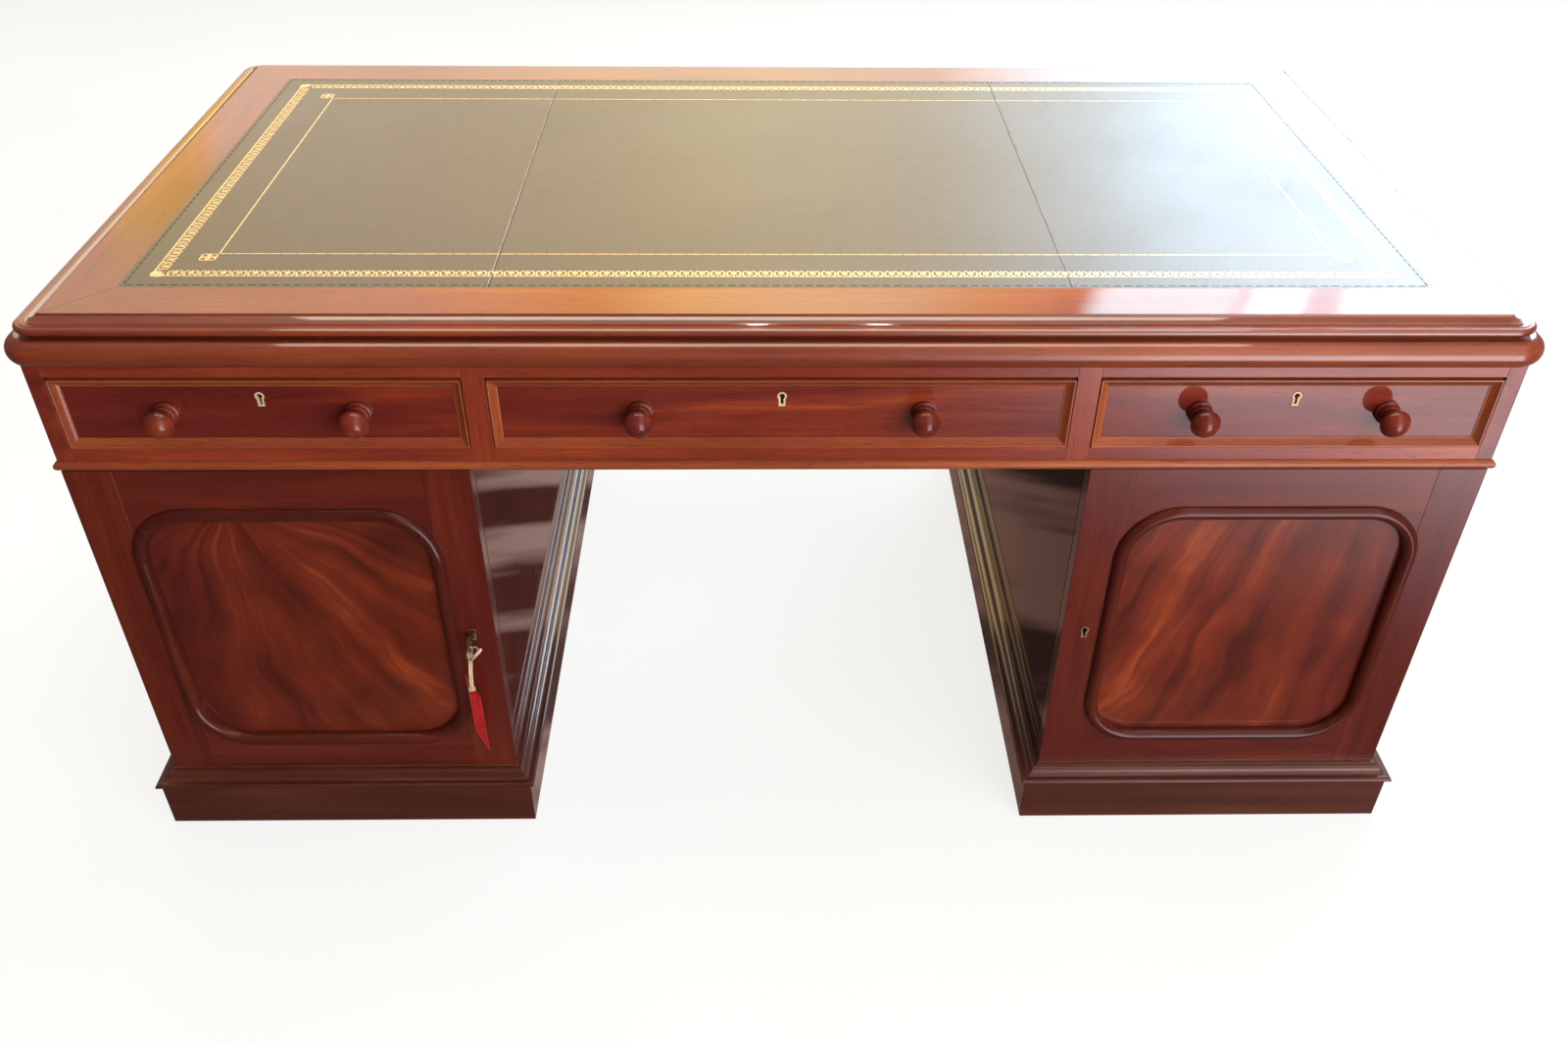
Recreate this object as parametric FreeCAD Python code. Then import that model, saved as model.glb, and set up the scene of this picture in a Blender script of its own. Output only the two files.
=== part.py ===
import FreeCAD, Part
import math
import os

# Pedestal desk in three parts: a top with three frieze drawers, standing on two cupboard pedestals.
# Millimetres. X to the right, front of the desk towards -Y, +Z up, floor at Z = 0.
# The origin is on the floor, in the middle of the whole desk with its knobs.

Vector = FreeCAD.Vector
BEND = "bend"

# Plan of the carcase
carcase_width = 1715.0
carcase_depth = 914.0
pedestal_width = 484.0

# Heights of the layers, from the floor up
plinth_height = 72.0
pedestal_height = 597.0
bead_height = 13.0
bottom_rail_height = 17.0
drawer_opening_height = 95.0
top_rail_height = 16.0
cushion_height = 32.0

# Boards of the top section
frieze_board = 20.0
partition_thickness = 27.0
centre_opening_width = 680.0
rail_depth = 60.0
runner_width = 26.0
bead_depth = 60.0
bead_reach = 5.0
cushion_depth = 48.0
cushion_reach = 17.0
cushion_corner = 20.0

# Moulded edge of the writing top: shadow recess, round nose, step, cove and quirk
edge_recess_height = 4.0
edge_recess_depth = 10.0
edge_nose_height = 9.0
edge_nose_reach = 3.0
edge_step_height = 0.8
edge_step_depth = 2.5
edge_cove_height = 3.7
edge_cove_bend_shares = (0.5, 0.2)
edge_quirk_height = 2.5
top_flat_inset = 24.0
top_corner = 25.0

# Leather writing surface of three skins
leather_inset = 90.0
leather_thickness = 1.6
leather_seam = 0.8
centre_skin_width = 684.0

# Pedestals
side_thickness = 20.0
pedestal_back_thickness = 15.0
pedestal_board_thickness = 18.0
shelf_height = 348.0
shelf_setback = 60.0
peg_radius = 7.0
peg_length = 24.0
peg_rise = 9.0
peg_inset = 18.0
peg_fit = 0.1

# Plinth boards and the moulding on them: round lip, cove, ovolo and fillet
plinth_thickness = 19.0
plinth_lip_reach = 25.0
plinth_lip_height = 7.0
plinth_cove_height = 4.5
plinth_cove_reach = 19.0
plinth_cove_bend_shares = (0.65, 0.25)
plinth_ovolo_height = 6.5
plinth_ovolo_reach = 11.0
plinth_ovolo_bend_shares = (0.3, 0.7)
plinth_fillet_height = 2.0
plinth_fillet_reach = 3.0

# Drawers
drawer_side_gap = 1.2
drawer_top_gap = 3.5
drawer_bottom_gap = 0.5
drawer_depth = 560.0
drawer_front_thickness = 20.0
drawer_side_thickness = 11.0
drawer_side_height = 80.0
drawer_back_thickness = 10.0
drawer_bottom_thickness = 6.0
drawer_bottom_rise = 9.0
groove_depth = 5.0
groove_fit = 0.2
dovetail_count = 3
dovetail_length = 14.0
dovetail_wide_share = 0.62
dovetail_narrow_share = 0.38

# Ovolo moulding round each drawer front
ovolo_width = 11.0
ovolo_depth = 7.5
ovolo_proud = 1.0
ovolo_edge = 2.0
ovolo_quirk_width = 1.2
ovolo_quirk_depth = 0.8
ovolo_bend_shares = (0.68, 0.76)

# Turned wooden knobs
knob_length = 42.0
knob_head_radius = 17.5
knob_neck_radius = 11.2
knob_ring_radius = 13.4
knob_collar_radius = 14.8
knob_collar_height = 4.5
knob_cove_height = 3.5
knob_cove_bend_shares = (0.72, 0.38)
knob_ring_height = 5.0
knob_head_height = 19.3
knob_spigot_radius = 6.0
knob_spigot_length = 14.0
knob_spigot_fit = 0.1
side_knob_spacing = 222.0
centre_knob_spacing = 332.0

# Keyholes and their inlaid brass rims
keyhole_radius = 3.3
keyhole_slot = 3.4
keyhole_drop = 11.0
rim_width = 2.2
rim_depth = 4.0
rim_proud = 0.4

# Drawer locks
drawer_lock_width = 60.0
drawer_lock_height = 40.0
drawer_lock_thickness = 11.0
drawer_key_drop = 24.5
drawer_bolt_width = 24.0
drawer_bolt_height = 15.0
drawer_bolt_throw = 9.0

# Door locks
door_lock_width = 60.0
door_lock_height = 46.0
door_lock_thickness = 15.0
door_lock_gap = 1.5
door_key_from_edge = 30.5
door_key_height = 342.0
door_bolt_length = 24.0
door_bolt_height = 12.0
door_bolt_rise = 7.3
door_bolt_throw = 9.0
bolt_thickness = 5.0
bolt_fit = 0.3
mortise_fit = 1.0

# Doors laid on the fronts of the pedestals
door_thickness = 22.0
door_gap = 2.4
door_end_gap = 1.5
door_stile = 58.0
door_top_rail = 64.0
door_bottom_rail = 55.0
panel_recess = 6.0
panel_thickness = 8.0
panel_margin = 9.0
panel_fit = 0.3
door_corner = 70.0

# Bolection moulding round each door panel
bolection_half_width = 9.0
bolection_height = 8.5
bolection_fillet = 2.0
bolection_inner_edge = 3.0
bolection_crown_share = 0.52

# Butt hinges
hinge_leaf_height = 64.0
hinge_leaf_width = 18.0
hinge_leaf_thickness = 2.0
hinge_barrel_radius = 4.0
hinge_barrel_clearance = 0.6
hinge_pin_radius = 1.8
hinge_pin_clearance = 0.05
hinge_knuckle_gap = 0.4
hinge_knuckles = 3
hinge_from_end = 60.0
hinges_per_door = 2

# Key in the left door
key_bow_out = 24.0
key_bow_radius = 8.5
key_wire_radius = 2.0
key_shank_radius = 2.6
key_collar_radius = 4.2
key_collar_length = 3.0
key_collar_out = 5.0
key_bit_reach = 6.2
key_bit_length = 5.0
key_bit_thickness = 2.4
key_cavity_fit = 0.5

# String through the bow of the key, and the tag that hangs on it
string_diameter = 2.6
string_bend_share = 0.45
string_points = (
    (-9.0, -71.0), (-8.0, -48.0), (-5.2, -24.0), (-3.6, -9.0), (-3.6, 3.6),
    (3.6, 3.6), (3.6, -9.0), (1.0, -24.0), (-3.4, -48.0), (-5.4, -71.0),
)
tag_width = 15.0
tag_length = 104.0
tag_slant = 43.0
tag_thickness = 1.6
tag_tip_above_hole = 25.0
tag_hole_radius = 2.5
tag_hole_in = 6.0
tag_gap = 0.2

# Cutters reach this far past the faces that they open
overrun = 2.0

# Places worked out from the sizes above
half_width = carcase_width / 2
drawer_field_recess = ovolo_depth - ovolo_proud
front_reach = knob_length - drawer_field_recess
middle = (front_reach - plinth_lip_reach) / 2
front = middle - carcase_depth / 2
back = middle + carcase_depth / 2
plinth_moulding_height = (
    plinth_lip_height + plinth_cove_height + plinth_ovolo_height + plinth_fillet_height
)
top_thickness = (
    edge_recess_height + edge_nose_height + edge_step_height + edge_cove_height + edge_quirk_height
)
plinth_top = plinth_height + plinth_moulding_height
frieze_bottom = pedestal_height + bead_height
opening_bottom = frieze_bottom + bottom_rail_height
opening_top = opening_bottom + drawer_opening_height
cushion_bottom = opening_top + top_rail_height
top_bottom = cushion_bottom + cushion_height
desk_height = top_bottom + top_thickness
pedestal_inside = half_width - pedestal_width
side_opening_width = (
    half_width - frieze_board - partition_thickness - centre_opening_width / 2
)
side_drawer_x = half_width - frieze_board - side_opening_width / 2
carcase_front = front + door_thickness + door_gap
door_bottom = plinth_top + door_end_gap
door_top = pedestal_height - door_end_gap
hinge_axis_x = half_width + hinge_barrel_radius + hinge_barrel_clearance
hinge_axis_y = carcase_front - door_gap / 2
door_key_x = pedestal_inside + door_key_from_edge
door_lock_x = pedestal_inside + side_thickness + door_lock_gap
drawer_top = opening_top - drawer_top_gap
drawer_bottom = opening_bottom + drawer_bottom_gap
drawer_field = front + drawer_field_recess
drawer_front_back = drawer_field + drawer_front_thickness
drawer_bolt_y = drawer_front_back - drawer_lock_thickness / 2
door_bolt_y = front + door_thickness + door_lock_thickness / 2
door_bolt_z = door_key_height + door_bolt_rise
key_bow_y = front - key_bow_out
key_tie_z = door_key_height - key_bow_radius


# Basic shapes

def board(left, right, near, far, bottom, top):
    """Rectangular board between three pairs of faces."""
    return Part.makeBox(right - left, far - near, top - bottom, Vector(left, near, bottom))


def rod(start, end, radius):
    """Round rod from one point to another."""
    along = end - start
    return Part.makeCylinder(radius, along.Length, start, along)


def flat_face(points, place):
    """Flat face inside a closed outline, where a point marked BEND is the middle of an arc."""
    spots = [place(point[0], point[1]) for point in points]
    bends = [BEND in point for point in points]
    edges = []
    for here, bend in enumerate(bends):
        following = (here + 1) % len(points)
        if bend:
            edges.append(Part.Arc(spots[here - 1], spots[here], spots[following]).toShape())
        elif not bends[following]:
            edges.append(Part.makeLine(spots[here], spots[following]))
    return Part.Face(Part.Wire(edges))


def between(start, end, share):
    """Value that lies a share of the way from start to end."""
    return start + (end - start) * share


def bend_between(start, end, shares):
    """Middle point of an arc from start to end, each coordinate at its own share of the way."""
    return (between(start[0], end[0], shares[0]), between(start[1], end[1], shares[1]), BEND)


def mirrored(shape):
    """The same piece on the left half of the desk."""
    return shape.mirror(Vector(), Vector(1, 0, 0))


def moved(shapes, x, y, z):
    """Copies of some solids, shifted."""
    return [shape.translated(Vector(x, y, z)) for shape in shapes]


# Moulding strips: a section has points (out, up), with out towards the face that is seen

def section_face(points):
    return flat_face(points, lambda out, up: Vector(0, -out, up))


def mitred_strip(points, half_length):
    """Strip along X with mitred ends, half_length long to each side at the line out = 0."""
    face = section_face(points)
    limits = face.BoundBox
    near = limits.YMin - overrun
    far = limits.YMax + overrun
    reach = half_length - near
    strip = face.translated(Vector(-reach, 0, 0)).extrude(Vector(2 * reach, 0, 0))
    plan = [(-reach, near), (reach, near), (half_length - far, far), (far - half_length, far)]
    keep = flat_face(plan, lambda x, y: Vector(x, y, limits.ZMin - overrun))
    return strip.common(keep.extrude(Vector(0, 0, limits.ZLength + 2 * overrun)))


def rounded_strip(points, half_length, corner):
    """Strip along X with half of a rounded corner at each end, turned about the line out = -corner."""
    face = section_face(points)
    straight = half_length - corner
    left = Vector(-straight, 0, 0)
    right = Vector(straight, 0, 0)
    inward = Vector(0, corner, 0)
    strip = face.translated(left).extrude(right - left)
    left_end = face.translated(left).revolve(left + inward, Vector(0, 0, 1), -45)
    right_end = face.translated(right).revolve(right + inward, Vector(0, 0, 1), 45)
    return strip.fuse([left_end, right_end]).removeSplitter()


def edged_strip(edge, corner, depth, height, half_length):
    """Rounded-corner edge with a flat mitred strip behind it, back to out = -depth."""
    flat = [(-depth, 0), (-corner, 0), (-corner, height), (-depth, height)]
    strip = mitred_strip(flat, half_length).fuse(rounded_strip(edge, half_length, corner))
    return strip.removeSplitter()


def ring_of_strips(make_strip, width, depth):
    """Four strips round a rectangle about the Z axis: front, right, back and left."""
    strips = []
    for quarter in range(4):
        turn = 90 * quarter
        run, across = (depth, width) if quarter % 2 else (width, depth)
        strip = make_strip(run / 2)
        strip.translate(Vector(0, -across / 2, 0))
        strip.rotate(Vector(), Vector(0, 0, 1), turn)
        strips.append(strip)
    return strips


def stood_up(strips):
    """A flat ring of strips stood upright, with what was its top turned to the front."""
    for strip in strips:
        strip.rotate(Vector(), Vector(1, 0, 0), 90)
    return strips


def nosed_section(inner, height, reach):
    """Section from out = -inner to a half-round nose."""
    straight = reach - height / 2
    return [(-inner, 0), (straight, 0), (reach, height / 2, BEND), (straight, height), (-inner, height)]


# Top section

def top_border():
    """Four mitred border boards of the top, with the moulded edge worked on them."""
    nose_top = edge_recess_height + edge_nose_height
    nose_middle = edge_recess_height + edge_nose_height / 2
    nose_back = edge_nose_reach - edge_nose_height / 2
    cove_low = (nose_back - edge_step_depth, nose_top + edge_step_height)
    cove_high = (-top_flat_inset, cove_low[1] + edge_cove_height)
    edge = [
        (-top_corner, 0), (-edge_recess_depth, 0), (-edge_recess_depth, edge_recess_height),
        (nose_back, edge_recess_height), (edge_nose_reach, nose_middle, BEND), (nose_back, nose_top),
        (cove_low[0], nose_top), cove_low, bend_between(cove_low, cove_high, edge_cove_bend_shares),
        cove_high, (-top_flat_inset, top_thickness), (-top_corner, top_thickness),
    ]
    strips = ring_of_strips(
        lambda half: edged_strip(edge, top_corner, leather_inset, top_thickness, half),
        carcase_width, carcase_depth,
    )
    return moved(strips, 0, middle, top_bottom)


def top_core():
    """Flat core of the top inside the border, which carries the leather."""
    half_core = half_width - leather_inset
    return [board(
        -half_core, half_core, front + leather_inset, back - leather_inset,
        top_bottom, desk_height - leather_thickness,
    )]


def leather_skins():
    """Three skins laid side by side in the border."""
    half_leather = half_width - leather_inset
    half_centre = centre_skin_width / 2
    spans = (
        (-half_leather, -half_centre - leather_seam),
        (-half_centre, half_centre),
        (half_centre + leather_seam, half_leather),
    )
    return [
        board(
            left, right, front + leather_inset, back - leather_inset,
            desk_height - leather_thickness, desk_height,
        )
        for left, right in spans
    ]


def cushion_moulding():
    """Large half-round moulding under the top."""
    edge = nosed_section(cushion_corner, cushion_height, cushion_reach)
    strips = ring_of_strips(
        lambda half: edged_strip(edge, cushion_corner, cushion_depth, cushion_height, half),
        carcase_width, carcase_depth,
    )
    return moved(strips, 0, middle, cushion_bottom)


def frieze_bead():
    """Small half-round moulding under the frieze, with holes for the locating pegs."""
    section = nosed_section(bead_depth, bead_height, bead_reach)
    strips = ring_of_strips(lambda half: mitred_strip(section, half), carcase_width, carcase_depth)
    strips = moved(strips, 0, middle, pedestal_height)
    holes = [peg(x, y, peg_radius + peg_fit, peg_fit) for x, y in peg_places()]
    return [strip.cut(holes) for strip in strips]


def frieze_ends():
    """End boards of the frieze."""
    right = board(half_width - frieze_board, half_width, front, back, frieze_bottom, cushion_bottom)
    return [mirrored(right), right]


def frieze_back():
    """Back board of the frieze."""
    inside = half_width - frieze_board
    return [board(-inside, inside, back - frieze_board, back, frieze_bottom, cushion_bottom)]


def drawer_openings():
    """Centre and width of each drawer opening, from left to right."""
    return (
        ("left", -side_drawer_x, side_opening_width, side_knob_spacing),
        ("centre", 0, centre_opening_width, centre_knob_spacing),
        ("right", side_drawer_x, side_opening_width, side_knob_spacing),
    )


def frieze_rails():
    """Rails above and below each drawer; each top rail is mortised for its lock bolt."""
    rails = []
    for name, x, width, knob_spacing in drawer_openings():
        left = x - width / 2
        right = x + width / 2
        half_mortise_width = drawer_bolt_width / 2 + mortise_fit
        half_mortise_depth = bolt_thickness / 2 + mortise_fit
        mortise = board(
            x - half_mortise_width, x + half_mortise_width,
            drawer_bolt_y - half_mortise_depth, drawer_bolt_y + half_mortise_depth,
            opening_top - overrun, drawer_top + drawer_bolt_throw + mortise_fit,
        )
        top_rail = board(left, right, front, front + rail_depth, opening_top, cushion_bottom)
        rails.append(top_rail.cut(mortise))
        rails.append(board(left, right, front, front + rail_depth, frieze_bottom, opening_bottom))
    return rails


def drawer_partitions():
    """Upright boards between the drawers."""
    left = centre_opening_width / 2
    right = board(
        left, left + partition_thickness, front, back - frieze_board, frieze_bottom, cushion_bottom,
    )
    return [mirrored(right), right]


def drawer_runners():
    """Runners under, and kickers over, the sides of each drawer."""
    strips = []
    for name, x, width, knob_spacing in drawer_openings():
        left = x - width / 2
        right = x + width / 2
        for low, high in ((left, left + runner_width), (right - runner_width, right)):
            for bottom, top in ((frieze_bottom, opening_bottom), (opening_top, cushion_bottom)):
                strips.append(board(low, high, front + rail_depth, back - frieze_board, bottom, top))
    return strips


# Pedestals, made at the right end of the desk

def peg_places():
    """Places of the pegs that locate the top on the pedestals."""
    x = half_width - pedestal_width / 2
    near = carcase_front + peg_inset
    far = back - pedestal_back_thickness - peg_inset
    return [(-x, near), (-x, far), (x, near), (x, far)]


def peg(x, y, radius, extra):
    """Upright peg through the top board of a pedestal, extra longer at both ends."""
    top = pedestal_height + peg_rise + extra
    return rod(Vector(x, y, top - peg_length - 2 * extra), Vector(x, y, top), radius)


def locating_pegs():
    return [peg(x, y, peg_radius, 0) for x, y in peg_places()]


def hinge_heights():
    """Bottom of each butt hinge."""
    first = door_bottom + hinge_from_end
    last = door_top - hinge_from_end - hinge_leaf_height
    pitch = (last - first) / (hinges_per_door - 1)
    return [first + number * pitch for number in range(hinges_per_door)]


def outer_side():
    """Outer side of the right pedestal, recessed for the hinge leaves."""
    side = board(half_width - side_thickness, half_width, carcase_front, back, 0, pedestal_height)
    for bottom in hinge_heights():
        side = side.cut(board(
            half_width - hinge_leaf_width, half_width + overrun, carcase_front - overrun,
            carcase_front + hinge_leaf_thickness, bottom, bottom + hinge_leaf_height,
        ))
    return side


def inner_side():
    """Inner side of the right pedestal, mortised for the door's lock bolt."""
    right = pedestal_inside + side_thickness
    side = board(pedestal_inside, right, carcase_front, back, 0, pedestal_height)
    tip = door_lock_x - door_bolt_throw - mortise_fit
    return side.cut(board(
        tip, right + overrun, door_bolt_y - bolt_thickness / 2 - mortise_fit,
        door_bolt_y + bolt_thickness / 2 + mortise_fit,
        door_bolt_z - mortise_fit, door_bolt_z + door_bolt_height + mortise_fit,
    ))


def pedestal_back():
    """Back board between the sides of the right pedestal."""
    return board(
        pedestal_inside + side_thickness, half_width - side_thickness,
        back - pedestal_back_thickness, back, 0, pedestal_height,
    )


def pedestal_boards():
    """Floor, shelf, top and toe board between the sides of the right pedestal."""
    left = pedestal_inside + side_thickness
    right = half_width - side_thickness
    far = back - pedestal_back_thickness
    floor = board(left, right, carcase_front, far, plinth_top, plinth_top + pedestal_board_thickness)
    shelf_front = carcase_front + shelf_setback
    shelf = board(left, right, shelf_front, far, shelf_height, shelf_height + pedestal_board_thickness)
    lid_bottom = pedestal_height - pedestal_board_thickness
    lid = board(left, right, carcase_front, far, lid_bottom, pedestal_height)
    holes = [peg(x, y, peg_radius + peg_fit, peg_fit) for x, y in peg_places()]
    toe = board(pedestal_inside, half_width, front, carcase_front, 0, plinth_top)
    return [floor, shelf, lid.cut(holes), toe]


def plinth():
    """Mitred plinth boards round the foot of the right pedestal, and the moulding on them."""
    board_section = [(0, 0), (plinth_thickness, 0), (plinth_thickness, plinth_height), (0, plinth_height)]
    lip_back = plinth_lip_reach - plinth_lip_height / 2
    cove_low = (plinth_cove_reach, plinth_lip_height)
    cove_high = (plinth_ovolo_reach, plinth_lip_height + plinth_cove_height)
    ovolo_high = (plinth_fillet_reach, cove_high[1] + plinth_ovolo_height)
    moulding_section = [
        (0, 0), (lip_back, 0),
        (plinth_lip_reach, plinth_lip_height / 2, BEND), (lip_back, plinth_lip_height),
        cove_low, bend_between(cove_low, cove_high, plinth_cove_bend_shares),
        cove_high, bend_between(cove_high, ovolo_high, plinth_ovolo_bend_shares),
        ovolo_high, (plinth_fillet_reach, plinth_moulding_height), (0, plinth_moulding_height),
    ]
    x = half_width - pedestal_width / 2
    solids = []
    for section, bottom in ((board_section, 0), (moulding_section, plinth_height)):
        strips = ring_of_strips(lambda half: mitred_strip(section, half), pedestal_width, carcase_depth)
        solids += moved(strips, x, middle, bottom)
    return solids


# Butt hinges of the right door

def knuckles(bottom, first):
    """Every second knuckle of a hinge barrel, starting with the one numbered first."""
    pitch = hinge_leaf_height / hinge_knuckles
    rings = []
    for number in range(first, hinge_knuckles, 2):
        low = bottom + number * pitch + hinge_knuckle_gap / 2
        high = low + pitch - hinge_knuckle_gap
        rings.append((low, high))
    return rings


def on_hinge_axis(z):
    return Vector(hinge_axis_x, hinge_axis_y, z)


def hinge_leaf(bottom, first, near):
    """Leaf whose plate starts at y = near, with its own knuckles round the pin."""
    plate_end = hinge_axis_x - hinge_barrel_radius - hinge_knuckle_gap
    leaf = board(
        half_width - hinge_leaf_width, plate_end, near, near + hinge_leaf_thickness,
        bottom, bottom + hinge_leaf_height,
    )
    for low, high in knuckles(bottom, first):
        tab = board(plate_end, hinge_axis_x, near, near + hinge_leaf_thickness, low, high)
        barrel = rod(on_hinge_axis(low), on_hinge_axis(high), hinge_barrel_radius)
        leaf = leaf.fuse([tab, barrel])
    bore = rod(
        on_hinge_axis(bottom - overrun), on_hinge_axis(bottom + hinge_leaf_height + overrun),
        hinge_pin_radius + hinge_pin_clearance,
    )
    return leaf.cut(bore).removeSplitter()


def hinge_pin(bottom):
    return rod(on_hinge_axis(bottom), on_hinge_axis(bottom + hinge_leaf_height), hinge_pin_radius)


def fixed_leaves():
    """Leaves on the pedestal, with the pins."""
    solids = []
    for bottom in hinge_heights():
        solids.append(hinge_leaf(bottom, 0, carcase_front))
        solids.append(hinge_pin(bottom))
    return solids


def door_leaves():
    """Leaves on the back of the door."""
    near = front + door_thickness - hinge_leaf_thickness
    return [hinge_leaf(bottom, 1, near) for bottom in hinge_heights()]


# Keyholes

def keyhole(radius, slot, drop, near, far):
    """Keyhole-shaped plug along Y, its round part about the Y axis and its slot below."""
    round_part = rod(Vector(0, near, 0), Vector(0, far, 0), radius)
    slot_part = board(-slot / 2, slot / 2, near, far, -drop, 0)
    return round_part.fuse(slot_part).removeSplitter()


def keyhole_rim(near, far):
    """Outer shape of the brass rim of a keyhole."""
    return keyhole(
        keyhole_radius + rim_width, keyhole_slot + 2 * rim_width, keyhole_drop + rim_width, near, far,
    )


def escutcheon(x, face, z):
    """Brass keyhole rim let into a front whose face is at y = face."""
    near = face - rim_proud
    far = face + rim_depth
    hole = keyhole(keyhole_radius, keyhole_slot, keyhole_drop, near - overrun, far + overrun)
    return keyhole_rim(near, far).cut(hole).translated(Vector(x, 0, z))


def keyhole_cut(x, face, far, z):
    """What a keyhole and its rim take out of a front."""
    rim = keyhole_rim(face - overrun, face + rim_depth)
    hole = keyhole(keyhole_radius, keyhole_slot, keyhole_drop, face - overrun, far + overrun)
    return rim.fuse(hole).translated(Vector(x, 0, z))


# Drawers, made about x = 0

def knob_profile():
    """Turned profile of a knob, as radius and reach, with the spigot behind the face."""
    cove_low = (knob_collar_radius, knob_collar_height)
    cove_high = (knob_neck_radius, knob_collar_height + knob_cove_height)
    ring_top = cove_high[1] + knob_ring_height
    head = (knob_neck_radius, knob_length - knob_head_height)
    widest = (knob_head_radius, head[1] + knob_head_radius - knob_neck_radius)
    low_bend = bend_between(head, widest, (math.sqrt(1 / 2), 1 - math.sqrt(1 / 2)))
    crown_rise = knob_length - widest[1]
    crown_radius = (knob_head_radius ** 2 + crown_rise ** 2) / (2 * crown_rise)
    half_crown = math.atan2(knob_head_radius, crown_radius - crown_rise) / 2
    crown_drop = crown_radius - crown_radius * math.cos(half_crown)
    crown_bend = (crown_radius * math.sin(half_crown), knob_length - crown_drop, BEND)
    return [
        (0, -knob_spigot_length), (knob_spigot_radius, -knob_spigot_length), (knob_spigot_radius, 0),
        (knob_collar_radius, 0), cove_low, bend_between(cove_low, cove_high, knob_cove_bend_shares),
        cove_high, (knob_ring_radius, (cove_high[1] + ring_top) / 2, BEND), (knob_neck_radius, ring_top),
        head, low_bend, widest, crown_bend, (0, knob_length),
    ]


def knob_places(spacing):
    """Centres of the two knobs of a drawer, on its face."""
    z = (drawer_bottom + drawer_top) / 2
    return [Vector(sign * spacing / 2, drawer_field, z) for sign in (-1, 1)]


def knobs(spacing):
    """Two turned knobs."""
    profile = flat_face(knob_profile(), lambda radius, reach: Vector(radius, -reach, 0))
    knob = profile.revolve(Vector(), Vector(0, 1, 0), 360)
    return [knob.translated(place) for place in knob_places(spacing)]


def dovetails(half_drawer):
    """Tails of the right drawer side, which reach into the drawer front."""
    pitch = drawer_side_height / dovetail_count
    tails = []
    for number in range(dovetail_count):
        centre = drawer_bottom + (number + 1 / 2) * pitch
        wide = pitch * dovetail_wide_share / 2
        narrow = pitch * dovetail_narrow_share / 2
        tip = drawer_front_back - dovetail_length
        plan = [
            (tip, centre - wide), (tip, centre + wide),
            (drawer_front_back, centre + narrow), (drawer_front_back, centre - narrow),
        ]
        tail = flat_face(plan, lambda y, z: Vector(half_drawer - drawer_side_thickness, y, z))
        tails.append(tail.extrude(Vector(drawer_side_thickness, 0, 0)))
    return tails


def drawer_front(half_drawer, knob_spacing):
    """Front board with its dovetail sockets, knob holes, keyhole and lock recess."""
    face = board(-half_drawer, half_drawer, drawer_field, drawer_front_back, drawer_bottom, drawer_top)
    cuts = []
    for tail in dovetails(half_drawer):
        cuts += [tail, mirrored(tail)]
    for place in knob_places(knob_spacing):
        depth = Vector(0, knob_spigot_length + knob_spigot_fit, 0)
        cuts.append(rod(place, place + depth, knob_spigot_radius + knob_spigot_fit))
    cuts.append(keyhole_cut(0, drawer_field, drawer_front_back, drawer_top - drawer_key_drop))
    cuts.append(board(
        -drawer_lock_width / 2, drawer_lock_width / 2, drawer_front_back - drawer_lock_thickness,
        drawer_front_back + overrun, drawer_top - drawer_lock_height, drawer_top + overrun,
    ))
    groove = drawer_bottom_board(half_drawer, groove_fit)
    return face.cut(cuts + [groove])


def drawer_bottom_board(half_drawer, extra):
    """Bottom of a drawer, thicker and wider by extra where it cuts its own groove."""
    half_bottom = half_drawer - drawer_side_thickness + groove_depth + extra - groove_fit
    low = drawer_bottom + drawer_bottom_rise - extra
    return board(
        -half_bottom, half_bottom, drawer_front_back - groove_depth - extra + groove_fit,
        drawer_front_back + drawer_depth - drawer_front_thickness,
        low, low + drawer_bottom_thickness + 2 * extra,
    )


def drawer_box(half_drawer):
    """Two sides, the back and the bottom of a drawer."""
    far = drawer_front_back + drawer_depth - drawer_front_thickness
    side = board(
        half_drawer - drawer_side_thickness, half_drawer, drawer_front_back, far,
        drawer_bottom, drawer_bottom + drawer_side_height,
    )
    side = side.fuse(dovetails(half_drawer)).removeSplitter()
    side = side.cut(drawer_bottom_board(half_drawer, groove_fit))
    inside = half_drawer - drawer_side_thickness
    rear = board(
        -inside, inside, far - drawer_back_thickness, far,
        drawer_bottom + drawer_bottom_rise + drawer_bottom_thickness, drawer_bottom + drawer_side_height,
    )
    return [mirrored(side), side, rear, drawer_bottom_board(half_drawer, 0)]


def drawer_moulding(half_drawer):
    """Mitred ovolo moulding round the face of a drawer."""
    height = drawer_top - drawer_bottom
    high = (-ovolo_edge, ovolo_depth)
    low = (ovolo_quirk_width - ovolo_width, ovolo_quirk_depth)
    section = [
        (-ovolo_width, 0), (0, 0), (0, ovolo_depth), high, bend_between(high, low, ovolo_bend_shares),
        low, (-ovolo_width, ovolo_quirk_depth),
    ]
    strips = ring_of_strips(lambda half: mitred_strip(section, half), 2 * half_drawer, height)
    return moved(stood_up(strips), 0, drawer_field, (drawer_bottom + drawer_top) / 2)


def drawer_bolt(extra):
    """Bolt of a drawer lock, drawn back; extra makes the channel that it slides in."""
    return board(
        -drawer_bolt_width / 2 - extra, drawer_bolt_width / 2 + extra,
        drawer_bolt_y - bolt_thickness / 2 - extra, drawer_bolt_y + bolt_thickness / 2 + extra,
        drawer_top - drawer_bolt_height - extra, drawer_top,
    )


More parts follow.
